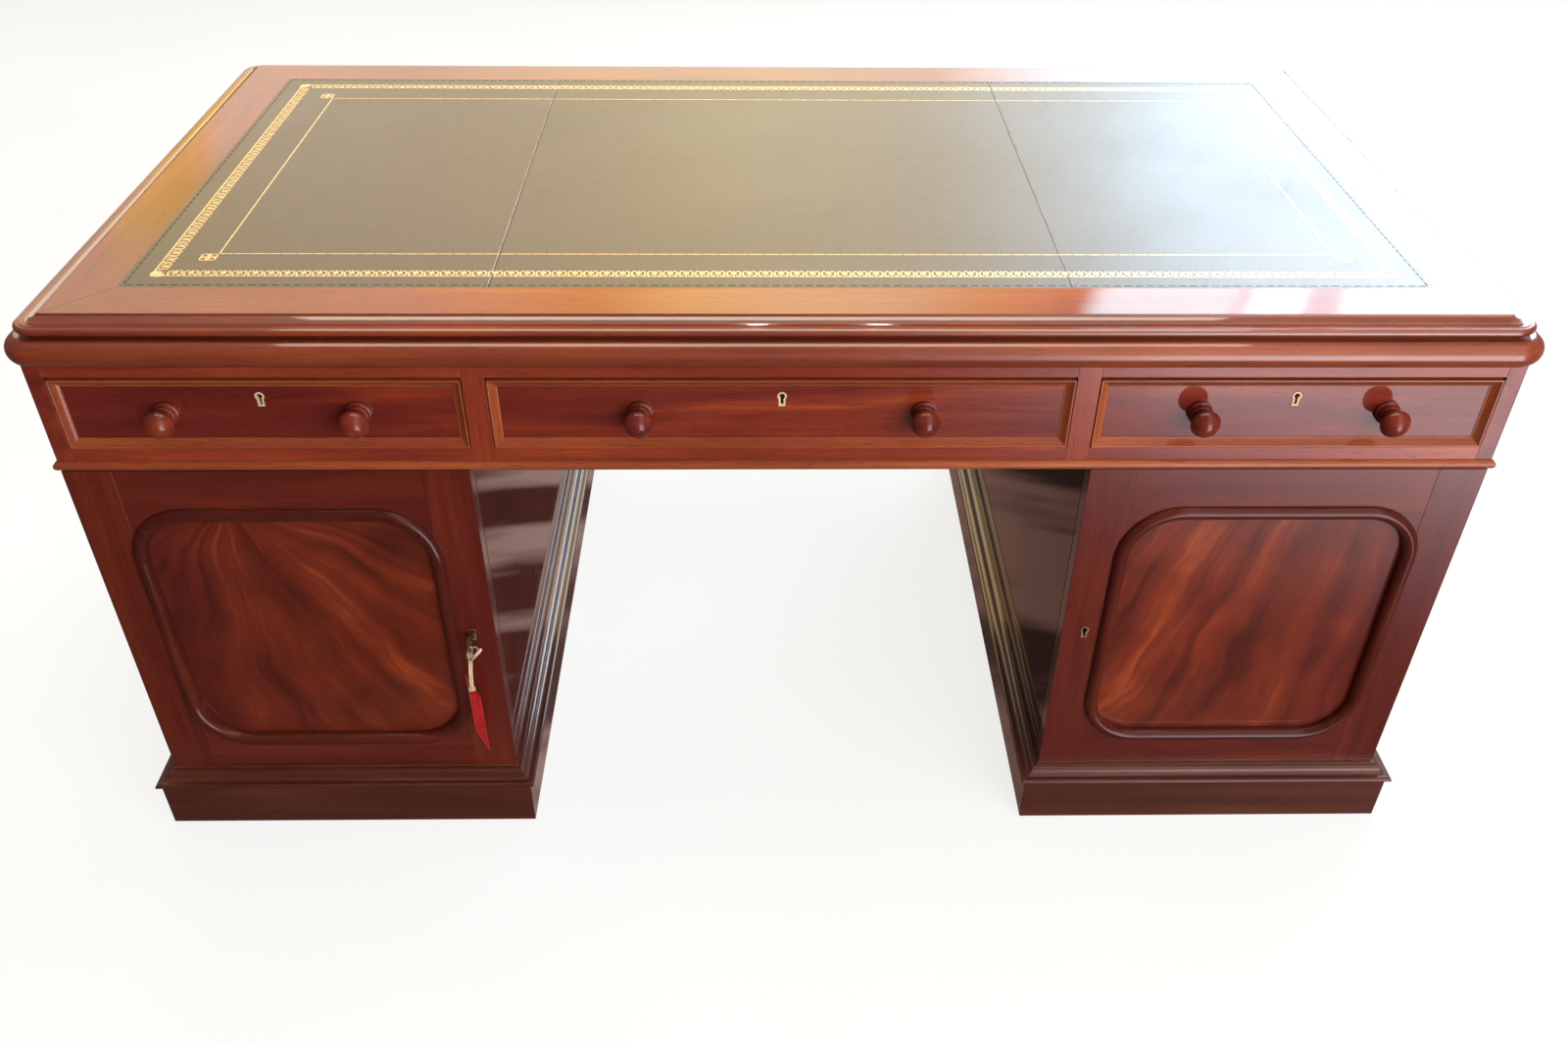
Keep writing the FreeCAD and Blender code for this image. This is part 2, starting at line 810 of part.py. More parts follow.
def drawer_lock():
    """Lock case let into the back of a drawer front, with its keyhole and bolt channel."""
    near = drawer_front_back - drawer_lock_thickness
    case = board(
        -drawer_lock_width / 2, drawer_lock_width / 2, near, drawer_front_back,
        drawer_top - drawer_lock_height, drawer_top,
    )
    hole = keyhole(keyhole_radius, keyhole_slot, keyhole_drop, near - overrun, drawer_bolt_y)
    hole.translate(Vector(0, 0, drawer_top - drawer_key_drop))
    channel = drawer_bolt(bolt_fit).fuse(drawer_bolt(bolt_fit).translated(Vector(0, 0, overrun)))
    return case.cut([hole, channel])


# Doors, made at the right end of the desk

def door_opening(near, far):
    """Rounded opening of the door frame."""
    block = board(
        pedestal_inside + door_stile, half_width - door_stile, near, far,
        door_bottom + door_bottom_rail, door_top - door_top_rail,
    )
    upright = [edge for edge in block.Edges if abs(edge.tangentAt(edge.FirstParameter).y) > 1 / 2]
    return block.makeFillet(door_corner, upright)


def door_panel_board(extra):
    """Flat panel behind the opening; extra makes the rebate that holds it."""
    near = front + panel_recess
    lap = panel_margin + extra
    return board(
        pedestal_inside + door_stile - lap, half_width - door_stile + lap, near, near + panel_thickness,
        door_bottom + door_bottom_rail - lap, door_top - door_top_rail + lap,
    )


def door_frame():
    """Two stiles and two rails, with the rounded opening, panel rebate, keyhole and hinge recesses."""
    far = front + door_thickness
    left = pedestal_inside + door_stile
    right = half_width - door_stile
    split = (door_bottom + door_top) / 2
    rebate = door_panel_board(panel_fit)
    behind_panel = door_thickness - panel_recess - panel_thickness
    rebate = rebate.fuse(rebate.translated(Vector(0, behind_panel + overrun, 0)))
    cuts = [door_opening(front - overrun, far + overrun), rebate]
    cuts.append(keyhole_cut(door_key_x, front, far, door_key_height))
    for bottom in hinge_heights():
        cuts.append(board(
            half_width - hinge_leaf_width, half_width + overrun, far - hinge_leaf_thickness, far + overrun,
            bottom, bottom + hinge_leaf_height,
        ))
    pieces = [
        board(pedestal_inside, left, front, far, door_bottom, door_top),
        board(right, half_width, front, far, door_bottom, door_top),
        board(left, right, front, far, door_bottom, split),
        board(left, right, front, far, split, door_top),
    ]
    return [piece.cut(cuts) for piece in pieces]


def door_moulding():
    """Bolection moulding that laps the frame and runs down to the panel."""
    outer = (bolection_half_width, bolection_fillet)
    inner = (-bolection_half_width, bolection_inner_edge - panel_recess)
    crown_place = between(outer[0], inner[0], bolection_crown_share)
    crown = (crown_place, bolection_height, BEND)
    section = [
        (0, -panel_recess), (0, 0), (bolection_half_width, 0), outer, crown, inner,
        (-bolection_half_width, -panel_recess),
    ]
    width = pedestal_width - 2 * door_stile
    height = door_top - door_bottom - door_top_rail - door_bottom_rail
    strips = stood_up(ring_of_strips(lambda half: rounded_strip(section, half, door_corner), width, height))
    z = door_bottom + door_bottom_rail + height / 2
    return moved(strips, half_width - pedestal_width / 2, front, z)


def door_bolt(extra):
    """Bolt of the right door's lock, drawn back; extra makes the channel that it slides in."""
    return board(
        door_lock_x, door_lock_x + door_bolt_length + extra,
        door_bolt_y - bolt_thickness / 2 - extra, door_bolt_y + bolt_thickness / 2 + extra,
        door_bolt_z - extra, door_bolt_z + door_bolt_height + extra,
    )


def door_lock():
    """Lock case on the back of the right door, hollow for the key and the bolt."""
    near = front + door_thickness
    bottom = door_key_height - door_lock_height / 2
    case = board(
        door_lock_x, door_lock_x + door_lock_width, near, near + door_lock_thickness,
        bottom, bottom + door_lock_height,
    )
    hole = keyhole(keyhole_radius, keyhole_slot, keyhole_drop, near - overrun, door_bolt_y)
    hole.translate(Vector(door_key_x, 0, door_key_height))
    half_cavity = key_bit_length / 2 + key_cavity_fit
    cavity = rod(
        Vector(door_key_x, door_bolt_y - half_cavity, door_key_height),
        Vector(door_key_x, door_bolt_y + half_cavity, door_key_height), key_bit_reach + key_cavity_fit,
    )
    channel = door_bolt(bolt_fit).fuse(door_bolt(bolt_fit).translated(Vector(-overrun, 0, 0)))
    return case.cut([hole, cavity, channel])


# Key, string and tag in the left door

def key():
    """Key with a ring bow, a shank, a collar and a bit inside the lock."""
    axis = Vector(-door_key_x, 0, door_key_height)
    bow = Part.makeTorus(key_bow_radius, key_wire_radius, axis + Vector(0, key_bow_y, 0), Vector(1, 0, 0))
    end = door_bolt_y + key_bit_length / 2
    shank = rod(axis + Vector(0, key_bow_y + key_bow_radius, 0), axis + Vector(0, end, 0), key_shank_radius)
    collar_near = front - key_collar_out - key_collar_length
    collar_far = collar_near + key_collar_length
    collar = rod(axis + Vector(0, collar_near, 0), axis + Vector(0, collar_far, 0), key_collar_radius)
    bit = board(
        -key_bit_thickness / 2, key_bit_thickness / 2, end - key_bit_length, end, -key_bit_reach, 0,
    )
    return bow.fuse([shank, collar, bit.translated(axis)]).removeSplitter()


def string_route():
    """Points of the string in the plane of the bow's lowest point, from the tag up and back."""
    return [Vector(x - door_key_x, key_bow_y, z + key_tie_z) for x, z in string_points]


def string_tube():
    """String along straight runs and tangent arcs, each arc as large as its two runs allow."""
    points = string_route()
    edges = []
    radii = []
    start = points[0]
    for before, corner, after in zip(points, points[1:], points[2:]):
        to_before = (before - corner).normalize()
        to_after = (after - corner).normalize()
        half_turn = (math.pi - to_before.getAngle(to_after)) / 2
        setback = string_bend_share * min((before - corner).Length, (after - corner).Length)
        radius = setback / math.tan(half_turn)
        radii.append(round(radius, 1))
        middle_way = radius / math.cos(half_turn) - radius
        bend = corner + (to_before + to_after).normalize() * middle_way
        enter = corner + to_before * setback
        leave = corner + to_after * setback
        edges.append(Part.LineSegment(start, enter).toShape())
        edges.append(Part.Arc(enter, bend, leave).toShape())
        start = leave
    edges.append(Part.LineSegment(start, points[-1]).toShape())
    path = Part.Wire(edges)
    circle = Part.Circle(points[0], points[1] - points[0], string_diameter / 2)
    tube = path.makePipeShell([Part.Wire(circle.toShape())], True, False)
    section_times_length = math.pi * string_diameter ** 2 / 4 * path.Length
    print("string length", round(path.Length, 1), "bend radii", radii)
    print("string volume", round(tube.Volume, 1), "of", round(section_times_length, 1))
    return tube


def key_tag():
    """Slant-cut tag behind the ends of the string, with the hole that they are tied in."""
    route = string_route()
    hole = (route[0] + route[-1]) / 2
    left = hole.x - tag_hole_in
    right = left + tag_width
    tip = hole.z + tag_tip_above_hole
    right_tip = tip - tag_slant
    outline = [(left, tip), (right, right_tip), (right, right_tip - tag_length), (left, tip - tag_length)]
    near = key_bow_y + string_diameter / 2 + tag_gap
    tag = flat_face(outline, lambda x, z: Vector(x, near, z)).extrude(Vector(0, tag_thickness, 0))
    through = Vector(0, near + tag_thickness + overrun - hole.y, 0)
    return tag.cut(rod(hole, hole + through, tag_hole_radius))


# All nodes of the desk

def drawer_nodes(name, x, width, knob_spacing):
    """Nodes of one drawer."""
    half_drawer = width / 2 - drawer_side_gap
    key_z = drawer_top - drawer_key_drop
    pieces = {
        "front": [drawer_front(half_drawer, knob_spacing)],
        "box": drawer_box(half_drawer),
        "moulding": drawer_moulding(half_drawer),
        "knobs": knobs(knob_spacing),
        "escutcheon": [escutcheon(0, drawer_field, key_z)],
        "lock": [drawer_lock()],
        "bolt": [drawer_bolt(0)],
    }
    return {f"{name}_drawer_{piece}": moved(solids, x, 0, 0) for piece, solids in pieces.items()}


def pedestal_nodes():
    """Nodes of the right pedestal and its door."""
    return {
        "pedestal_outer_side": [outer_side()],
        "pedestal_inner_side": [inner_side()],
        "pedestal_back": [pedestal_back()],
        "pedestal_boards": pedestal_boards(),
        "plinth": plinth(),
        "door_frame": door_frame(),
        "door_panel": [door_panel_board(0)],
        "door_moulding": door_moulding(),
        "door_hinge_leaves": door_leaves(),
        "door_escutcheon": [escutcheon(door_key_x, front, door_key_height)],
        "door_lock": [door_lock()],
        "door_bolt": [door_bolt(0)],
    }


def desk_nodes():
    """All nodes by name, each a list of separate solids."""
    nodes = {
        "top_border": top_border(),
        "top_core": top_core(),
        "leather_skins": leather_skins(),
        "cushion_moulding": cushion_moulding(),
        "frieze_bead": frieze_bead(),
        "frieze_ends": frieze_ends(),
        "frieze_back": frieze_back(),
        "frieze_rails": frieze_rails(),
        "drawer_partitions": drawer_partitions(),
        "drawer_runners": drawer_runners(),
        "locating_pegs": locating_pegs(),
    }
    for name, x, width, knob_spacing in drawer_openings():
        nodes.update(drawer_nodes(name, x, width, knob_spacing))
    for name, solids in pedestal_nodes().items():
        nodes[f"right_{name}"] = solids
        nodes[f"left_{name}"] = [mirrored(solid) for solid in solids]
    leaves = fixed_leaves()
    nodes["fixed_hinge_leaves"] = leaves + [mirrored(leaf) for leaf in leaves]
    nodes["key"] = [key()]
    nodes["key_string"] = [string_tube()]
    nodes["key_tag"] = [key_tag()]
    return nodes


def main():
    os.makedirs("parts", exist_ok=True)
    for name, solids in desk_nodes().items():
        Part.makeCompound(solids).exportStep(f"parts/{name}.step")


main()
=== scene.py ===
"""Looks of a pedestal desk: polished mahogany, tooled leather, brass and steel fittings, and a tagged key.

Everything is in metres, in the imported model's frame: x to the right, the front towards -y, z up.
"""

import math
from collections import namedtuple

import bmesh
import bpy
from mathutils import Matrix, Vector


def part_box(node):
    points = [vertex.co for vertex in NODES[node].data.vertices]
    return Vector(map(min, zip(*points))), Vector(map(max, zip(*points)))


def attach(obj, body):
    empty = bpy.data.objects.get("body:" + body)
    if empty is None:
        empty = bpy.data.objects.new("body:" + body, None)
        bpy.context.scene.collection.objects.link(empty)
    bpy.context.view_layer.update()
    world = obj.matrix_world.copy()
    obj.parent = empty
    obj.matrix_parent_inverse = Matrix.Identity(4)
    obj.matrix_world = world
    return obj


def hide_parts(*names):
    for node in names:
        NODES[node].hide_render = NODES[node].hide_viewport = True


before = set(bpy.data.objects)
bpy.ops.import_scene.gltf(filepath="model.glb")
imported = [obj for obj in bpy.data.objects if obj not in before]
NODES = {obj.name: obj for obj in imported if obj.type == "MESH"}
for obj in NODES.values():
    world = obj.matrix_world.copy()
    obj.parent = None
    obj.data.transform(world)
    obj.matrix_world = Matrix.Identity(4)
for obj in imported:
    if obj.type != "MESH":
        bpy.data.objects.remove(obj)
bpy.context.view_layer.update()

X, Y, Z = 0, 1, 2
RIGHT, BACK, UP = Vector((1, 0, 0)), Vector((0, 1, 0)), Vector((0, 0, 1))


# Colours, written as they look on a screen


def colour(code):
    """Linear colour of a six-figure hex code, by the standard curve of a screen."""
    channels = [int(code[i:i + 2], 16) / 255 for i in (0, 2, 4)]
    return (*(c / 12.92 if c <= 0.04045 else ((c + 0.055) / 1.055) ** 2.4 for c in channels), 1)


def three_tones(dark, middle, light):
    """Stops of a ramp for patches in three tones."""
    return (0.3, dark), (0.5, middle), (0.7, light)


# Camera at the photograph's angle

PHOTO_WIDTH = 1600
PHOTO_HEIGHT = 1067
CAMERA_PLACE = Vector((-0.0280, -1.8042, 1.4930))
CAMERA_PITCH = math.radians(38.383)
CAMERA_YAW = math.radians(1.382)
CAMERA_ROLL = math.radians(0.681)
FOCAL_PIXELS = 1373.2
CENTRE_ROW = 595.5


def make_camera():
    """Camera with the pinhole that the desk's corners in the photograph give."""
    data = bpy.data.cameras.new("camera")
    data.sensor_fit = "HORIZONTAL"
    data.lens = FOCAL_PIXELS / PHOTO_WIDTH * data.sensor_width
    data.shift_y = (CENTRE_ROW - PHOTO_HEIGHT / 2) / PHOTO_WIDTH
    camera = bpy.data.objects.new("camera", data)
    heading = Matrix.Rotation(-CAMERA_YAW, 4, "Z")
    tilt = Matrix.Rotation(math.pi / 2 - CAMERA_PITCH, 4, "X")
    roll = Matrix.Rotation(CAMERA_ROLL, 4, "Z")
    camera.matrix_world = Matrix.Translation(CAMERA_PLACE) @ heading @ tilt @ roll
    bpy.context.scene.collection.objects.link(camera)
    bpy.context.scene.camera = camera


# Shader nodes

SEED_SPREAD = 40.0
BEVEL_SAMPLES = 4


def add(tree, kind, inputs=None, **settings):
    """New shader node with its settings, and its inputs set to values or linked to sockets."""
    node = tree.nodes.new("ShaderNode" + kind)
    for name, value in settings.items():
        setattr(node, name, value)
    for key, value in (inputs or {}).items():
        if isinstance(value, bpy.types.NodeSocket):
            tree.links.new(value, node.inputs[key])
        else:
            node.inputs[key].default_value = value
    return node


def maths(tree, operation, a, b):
    """Result of one operation on two numbers."""
    return add(tree, "Math", {0: a, 1: b}, operation=operation).outputs[0]


def times(tree, a, b):
    """Product of two numbers."""
    return maths(tree, "MULTIPLY", a, b)


def weighted(tree, *parts):
    """Sum of numbers, each times its weight."""
    total = 0.0
    for value, weight in parts:
        total = add(tree, "Math", {0: value, 1: weight, 2: total}, operation="MULTIPLY_ADD").outputs[0]
    return total


def between(tree, value, span, to=(0.0, 1.0)):
    """Value mapped from one span to another, and kept inside it."""
    (low, high), (to_low, to_high) = span, to
    inputs = {"Value": value, "From Min": low, "From Max": high, "To Min": to_low, "To Max": to_high}
    return add(tree, "MapRange", inputs).outputs["Result"]


def vectors(tree, operation, a, b):
    """Outputs of one operation on two vectors."""
    return add(tree, "VectorMath", {0: a, 1: b}, operation=operation).outputs


def scaled(tree, vector, scale, turn=(0, 0, 0)):
    """Coordinates turned and then scaled along each axis."""
    turned = add(tree, "Mapping", {"Vector": vector, "Rotation": turn}).outputs["Vector"]
    return add(tree, "Mapping", {"Vector": turned, "Scale": scale}).outputs["Vector"]


def noise(tree, vector, scale, detail, seed=0.0, warp=0.0):
    """Noise from 0 to 1 at coordinates, with a seed that differs between pieces."""
    inputs = {"Vector": vector, "W": seed, "Scale": scale, "Detail": detail, "Distortion": warp}
    return add(tree, "TexNoise", inputs, noise_dimensions="4D").outputs["Fac"]


def wave(tree, vector, pitch, warp, way):
    """Ridges from 0 to 1, closer together for a smaller pitch, one after another along one way."""
    inputs = {"Vector": vector, "Scale": 1 / pitch, "Distortion": warp}
    return add(tree, "TexWave", inputs, bands_direction=way).outputs["Fac"]


def ramp(tree, factor, *stops):
    """Colour read from a ramp of (place, hex code) stops."""
    node = add(tree, "ValToRGB", {"Fac": factor})
    elements = node.color_ramp.elements
    while len(elements) < len(stops):
        elements.new(1.0)
    for element, (place, code) in zip(elements, stops):
        element.position = place
        element.color = colour(code)
    return node.outputs["Color"]


def mix(tree, factor, a, b):
    """Two colours mixed by a factor."""
    return add(tree, "Mix", {0: factor, 6: a, 7: b}, data_type="RGBA").outputs[2]


def soft_edges(tree, radius):
    """Normal with the edges rounded by a radius."""
    return add(tree, "Bevel", {"Radius": radius}, samples=BEVEL_SAMPLES).outputs["Normal"]


def bump(tree, height, strength, depth, **over):
    """Normal of a relief, over the surface's own Normal or another."""
    inputs = {"Height": height, "Strength": strength, "Distance": depth, **over}
    return add(tree, "Bump", inputs).outputs["Normal"]


def new_material(name):
    """Empty material with its tree, its shader, the place on the piece and the piece's own seed."""
    material = bpy.data.materials.new(name)
    material.use_nodes = True
    tree = material.node_tree
    shader = tree.nodes["Principled BSDF"]
    place = add(tree, "TexCoord").outputs["Object"]
    seed = times(tree, add(tree, "ObjectInfo").outputs["Random"], SEED_SPREAD)
    return material, tree, shader, place, seed


def set_values(shader, **values):
    """Constants on the shader's own sockets, with underscores for spaces."""
    for name, value in values.items():
        shader.inputs[name.replace("_", " ")].default_value = value


def wire(tree, shader, **sockets):
    """Sockets linked to the shader's inputs, with underscores for spaces."""
    for name, socket in sockets.items():
        tree.links.new(socket, shader.inputs[name.replace("_", " ")])


# Wood: a finish has the tones of its grain, the colours of its darker patches and of worn edges with how
# worn they are, then the weight, refractive index and roughness of its polish, and its own sheen below that

Finish = namedtuple("Finish", "tones patch worn wear coat shine gloss haze")

FRIEZE = Finish(
    tones=((0.24, "38160f"), (0.44, "69281e"), (0.58, "7e3320"), (0.80, "a4522e")),
    patch="571a1c", worn="a4562b", wear=0.2, coat=1.0, shine=1.5, gloss=0.04, haze=0.2,
)
RAIL = Finish(
    tones=((0.24, "4e2014"), (0.44, "7c3423"), (0.58, "8e3f24"), (0.80, "b05e32")),
    patch="6c2420", worn="b4663a", wear=0.2, coat=1.0, shine=1.5, gloss=0.04, haze=0.2,
)
STRIP = Finish(
    tones=((0.24, "653018"), (0.44, "8f4a2a"), (0.58, "a0562e"), (0.80, "bc743c")),
    patch="7e3a28", worn="c07c4a", wear=0.2, coat=1.0, shine=1.5, gloss=0.04, haze=0.2,
)
DOOR = Finish(
    tones=((0.16, "33130d"), (0.44, "572018"), (0.60, "66281b"), (0.92, "843c22")),
    patch="4e161a", worn="8c4022", wear=0.0, coat=1.0, shine=1.5, gloss=0.05, haze=0.2,
)
SIDE = DOOR._replace(gloss=0.008, haze=0.0)
PLINTH = DOOR._replace(
    tones=((0.16, "2c150f"), (0.44, "4b2219"), (0.60, "582b1e"), (0.92, "704028")),
    patch="421b19", haze=0.4,
)
BOLECTION = Finish(
    tones=((0.22, "2c110c"), (0.44, "481c15"), (0.58, "562419"), (0.82, "70341f")),
    patch="3c1417", worn="7c3a22", wear=0.0, coat=0.8, shine=1.5, gloss=0.02, haze=0.1,
)
MOULDED = Finish(
    tones=((0.24, "481c0e"), (0.44, "79331a"), (0.58, "8b4120"), (0.80, "a85c2a")),
    patch="66281c", worn="b06a38", wear=0.2, coat=1.0, shine=1.7, gloss=0.03, haze=0.6,
)
EDGE = MOULDED._replace(shine=2.0, haze=0.9)
# Paler tones for the flat top face: partly a paler wood, partly painted light from above
TOP_WITH_PAINTED_LIGHT = Finish(
    tones=((0.24, "521e10"), (0.44, "83361c"), (0.58, "934422"), (0.80, "ae622e")),
    patch="722822", worn="b87444", wear=0.2, coat=1.0, shine=1.5, gloss=0.04, haze=0.0,
)
LINING = Finish(
    tones=((0.24, "6b4527"), (0.44, "8a6039"), (0.58, "9a6e44"), (0.80, "b38a5a")),
    patch="7c5532", worn="c09a68", wear=0.4, coat=0.0, shine=1.5, gloss=0.5, haze=0.3,
)

EDGE_ROUND = 0.0014
WEAR_TURN = 0.10
WEAR_PATCHES = (0.42, 0.66)
PATCHES = (0.40, 0.62)
PATCH_STRENGTH = 0.6
BAND_SHARE = 0.76
PORES = (0.58, 0.72)
PORE_DEPTH = 0.00012
PORE_TONE = "1c0806"
PORE_STRENGTH = 0.5
RIPPLE_DEPTH = 0.00006
RUBBED = (0.3, 0.7)
WOOD_ROUGHNESS = (0.36, 0.52)


def grain(tree, place, axis, seed, along, across, **pattern):
    """Noise drawn out along one axis."""
    stretch = [across, across, across]
    stretch[axis] = along
    return noise(tree, scaled(tree, place, stretch), seed=seed, **pattern)


def open_pores(tree, place, axis, seed):
    """Short open pores along the grain."""
    dashes = grain(tree, place, axis, seed, along=22.0, across=520.0, scale=2.0, detail=1.0)
    return between(tree, dashes, PORES)


def edge_wear(tree, soft, place, seed):
    """How worn each place is: most along the softened edges, in uneven patches."""
    flat = add(tree, "NewGeometry").outputs["Normal"]
    facing = vectors(tree, "DOT_PRODUCT", soft, flat)["Value"]
    edge = between(tree, facing, (1.0, 1.0 - WEAR_TURN))
    patches = between(tree, noise(tree, place, scale=14.0, detail=3.0, seed=seed), WEAR_PATCHES)
    return times(tree, edge, patches)


def polish(tree, shader, soft, place, seed, axis, figure, pores, finish):
    """Wood with open pores under a clear hand-rubbed polish with faint ripples."""
    rubbed = noise(tree, place, scale=5.0, detail=4.0, seed=seed)
    ripples = grain(tree, place, axis, seed, along=4.0, across=26.0, scale=2.0, detail=2.0)
    relief = weighted(tree, (figure, 0.3), (pores, -0.7))
    film = weighted(tree, (ripples, 0.8), (pores, -0.2))
    wire(
        tree, shader,
        Normal=bump(tree, relief, strength=0.3, depth=PORE_DEPTH, Normal=soft),
        Coat_Normal=bump(tree, film, strength=0.5, depth=RIPPLE_DEPTH, Normal=soft),
        Roughness=between(tree, rubbed, RUBBED, to=WOOD_ROUGHNESS),
        Coat_Roughness=between(tree, rubbed, RUBBED, to=(finish.gloss, finish.gloss * 2)),
    )
    set_values(shader, Specular_IOR_Level=finish.haze, Coat_Weight=finish.coat, Coat_IOR=finish.shine)


def wood(name, axis, finish):
    """Wood with its grain along one axis: ribbon figure, streaks, pores, tone patches and worn edges."""
    material, tree, shader, place, seed = new_material(name)
    bands = grain(tree, place, axis, seed, along=1.1, across=11.0, scale=2.6, detail=4.0, warp=0.6)
    streaks = grain(tree, place, axis, seed, along=2.2, across=68.0, scale=3.0, detail=4.0)
    clouds = grain(tree, place, axis, seed, along=1.0, across=2.4, scale=2.6, detail=2.0)
    patches = between(tree, clouds, PATCHES, to=(0.0, PATCH_STRENGTH))
    pores = open_pores(tree, place, axis, seed)
    soft = soft_edges(tree, EDGE_ROUND)
    wear = edge_wear(tree, soft, place, seed)
    shade = ramp(tree, weighted(tree, (bands, BAND_SHARE), (streaks, 1 - BAND_SHARE)), *finish.tones)
    shade = mix(tree, patches, shade, colour(finish.patch))
    shade = mix(tree, times(tree, pores, PORE_STRENGTH), shade, colour(PORE_TONE))
    shade = mix(tree, times(tree, wear, finish.wear), shade, colour(finish.worn))
    polish(tree, shader, soft, place, seed, axis, bands, pores, finish)
    wire(tree, shader, Base_Color=shade)
    return material


def boards(name, finish, *axes):
    """Woods of one finish, by the axis that the grain follows."""
    return {axis: wood(f"{name}_{'xyz'[axis]}", axis, finish) for axis in axes}


FLAME_TONES = ((0.30, "30120c"), (0.44, "572117"), (0.56, "722e1b"), (0.72, "a65228"))
FLAME_HUBS = {"left": Vector((-0.085, 0, 0.22)), "right": Vector((0.24, 0, 0.83))}
FLAME_DRIFT = 0.11
FLAME_SHADE = "4c181a"
FLAME_SHADE_STRENGTH = 0.5
FLAME_PORE_STRENGTH = 0.15
PLUME_STRETCH = (26.0, 2.6, 1.0)
FEATHER_STRETCH = (150.0, 8.0, 1.0)
PANEL_HALF = 0.19


def fan_out(tree, place, centre, hub):
    """Coordinates across and along the spokes from a hub, bent by a slow drift."""
    drift = add(tree, "TexNoise", {"Vector": place, "Scale": 5.0, "Detail": 2.0}).outputs["Color"]
    drift = vectors(tree, "SUBTRACT", drift, (0.5, 0.5, 0.5))["Vector"]
    drift = add(tree, "VectorMath", {0: drift, "Scale": FLAME_DRIFT}, operation="SCALE").outputs["Vector"]
    spoke = vectors(tree, "SUBTRACT", place, centre + hub)["Vector"]
    spoke = vectors(tree, "ADD", spoke, drift)["Vector"]
    axes = add(tree, "SeparateXYZ", {0: spoke}).outputs
    down = times(tree, axes["Z"], -1.0)
    across = times(tree, maths(tree, "ARCTAN2", axes["X"], down), hub.length)
    reach = add(tree, "VectorMath", {0: spoke}, operation="LENGTH").outputs["Value"]
    return add(tree, "CombineXYZ", {"X": across, "Y": reach}).outputs["Vector"]


def flame(side, hand):
    """Crotch figure of a door panel: soft plumes that fan down from a hub, darker to the outer side."""
    material, tree, shader, place, seed = new_material(f"{side}_flame")
    low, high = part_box(f"{side}_door_panel")
    centre = (low + high) / 2
    fan = fan_out(tree, place, centre, FLAME_HUBS[side])
    plumes = noise(tree, scaled(tree, fan, PLUME_STRETCH), scale=1.0, detail=4.0, seed=3.0, warp=0.6)
    feathers = noise(tree, scaled(tree, fan, FEATHER_STRETCH), scale=1.0, detail=3.0, seed=5.0)
    blotches = noise(tree, place, scale=11.0, detail=3.0, seed=seed)
    pores = open_pores(tree, place, Z, seed)
    sideways = maths(tree, "SUBTRACT", add(tree, "SeparateXYZ", {0: place}).outputs["X"], centre.x)
    outer = times(tree, sideways, hand)
    shaded = between(tree, outer, (0.0, PANEL_HALF), to=(0.0, FLAME_SHADE_STRENGTH))
    shade = ramp(tree, weighted(tree, (plumes, 0.56), (feathers, 0.14), (blotches, 0.30)), *FLAME_TONES)
    shade = mix(tree, shaded, shade, colour(FLAME_SHADE))
    shade = mix(tree, times(tree, pores, FLAME_PORE_STRENGTH), shade, colour(PORE_TONE))
    polish(tree, shader, soft_edges(tree, EDGE_ROUND), place, seed, Z, plumes, pores, DOOR)
    wire(tree, shader, Base_Color=shade)
    return material


# Leather, metals, string and ribbon

LEATHER_TONES = ((0.25, "484437"), (0.5, "544f41"), (0.75, "605b4a"))
LEATHER_SPOT = "3c352a"
LEATHER_PIT = "37312a"
LEATHER_GRAIN = 760.0
LEATHER_RELIEF = 0.00025
SCUFF_STRETCH = (26.0, 3.0, 1.0)
SCUFF_TURN = (0, 0, 0.5)
SCRATCH_STRETCH = (900.0, 900.0, 60.0)
METAL_ROUND = EDGE_ROUND / 4
TARNISH_DULLS = 0.2


def leather(name):
    """Olive leather with a fine pebbled grain, faint scuffs and a hand-worn sheen."""
    material, tree, shader, place, seed = new_material(name)
    cells = add(tree, "TexVoronoi", {"Vector": place, "Scale": LEATHER_GRAIN}).outputs["Distance"]
    cloud = noise(tree, place, scale=3.0, detail=5.0, seed=seed)
    mottle = noise(tree, place, scale=60.0, detail=4.0, seed=seed)
    scuffs = noise(tree, scaled(tree, place, SCUFF_STRETCH, SCUFF_TURN), scale=3.0, detail=3.0, seed=seed)
    shade = ramp(tree, cloud, *LEATHER_TONES)
    shade = mix(tree, between(tree, mottle, (0.4, 0.7), to=(0.0, 0.22)), shade, colour(LEATHER_SPOT))
    shade = mix(tree, between(tree, cells, (0.5, 0.9), to=(0.0, 0.25)), shade, colour(LEATHER_PIT))
    handled = between(tree, cloud, (0.3, 0.7), to=(0.30, 0.40))
    scuffed = between(tree, scuffs, (0.55, 0.75), to=(0.0, 0.03))
    relief = maths(tree, "ADD", cells, times(tree, mottle, 0.8))
    wire(
        tree, shader, Base_Color=shade, Roughness=maths(tree, "ADD", handled, scuffed),
        Normal=bump(tree, relief, strength=0.18, depth=LEATHER_RELIEF),
    )
    set_values(shader, Specular_IOR_Level=0.6, Sheen_Weight=0.08)
    return material


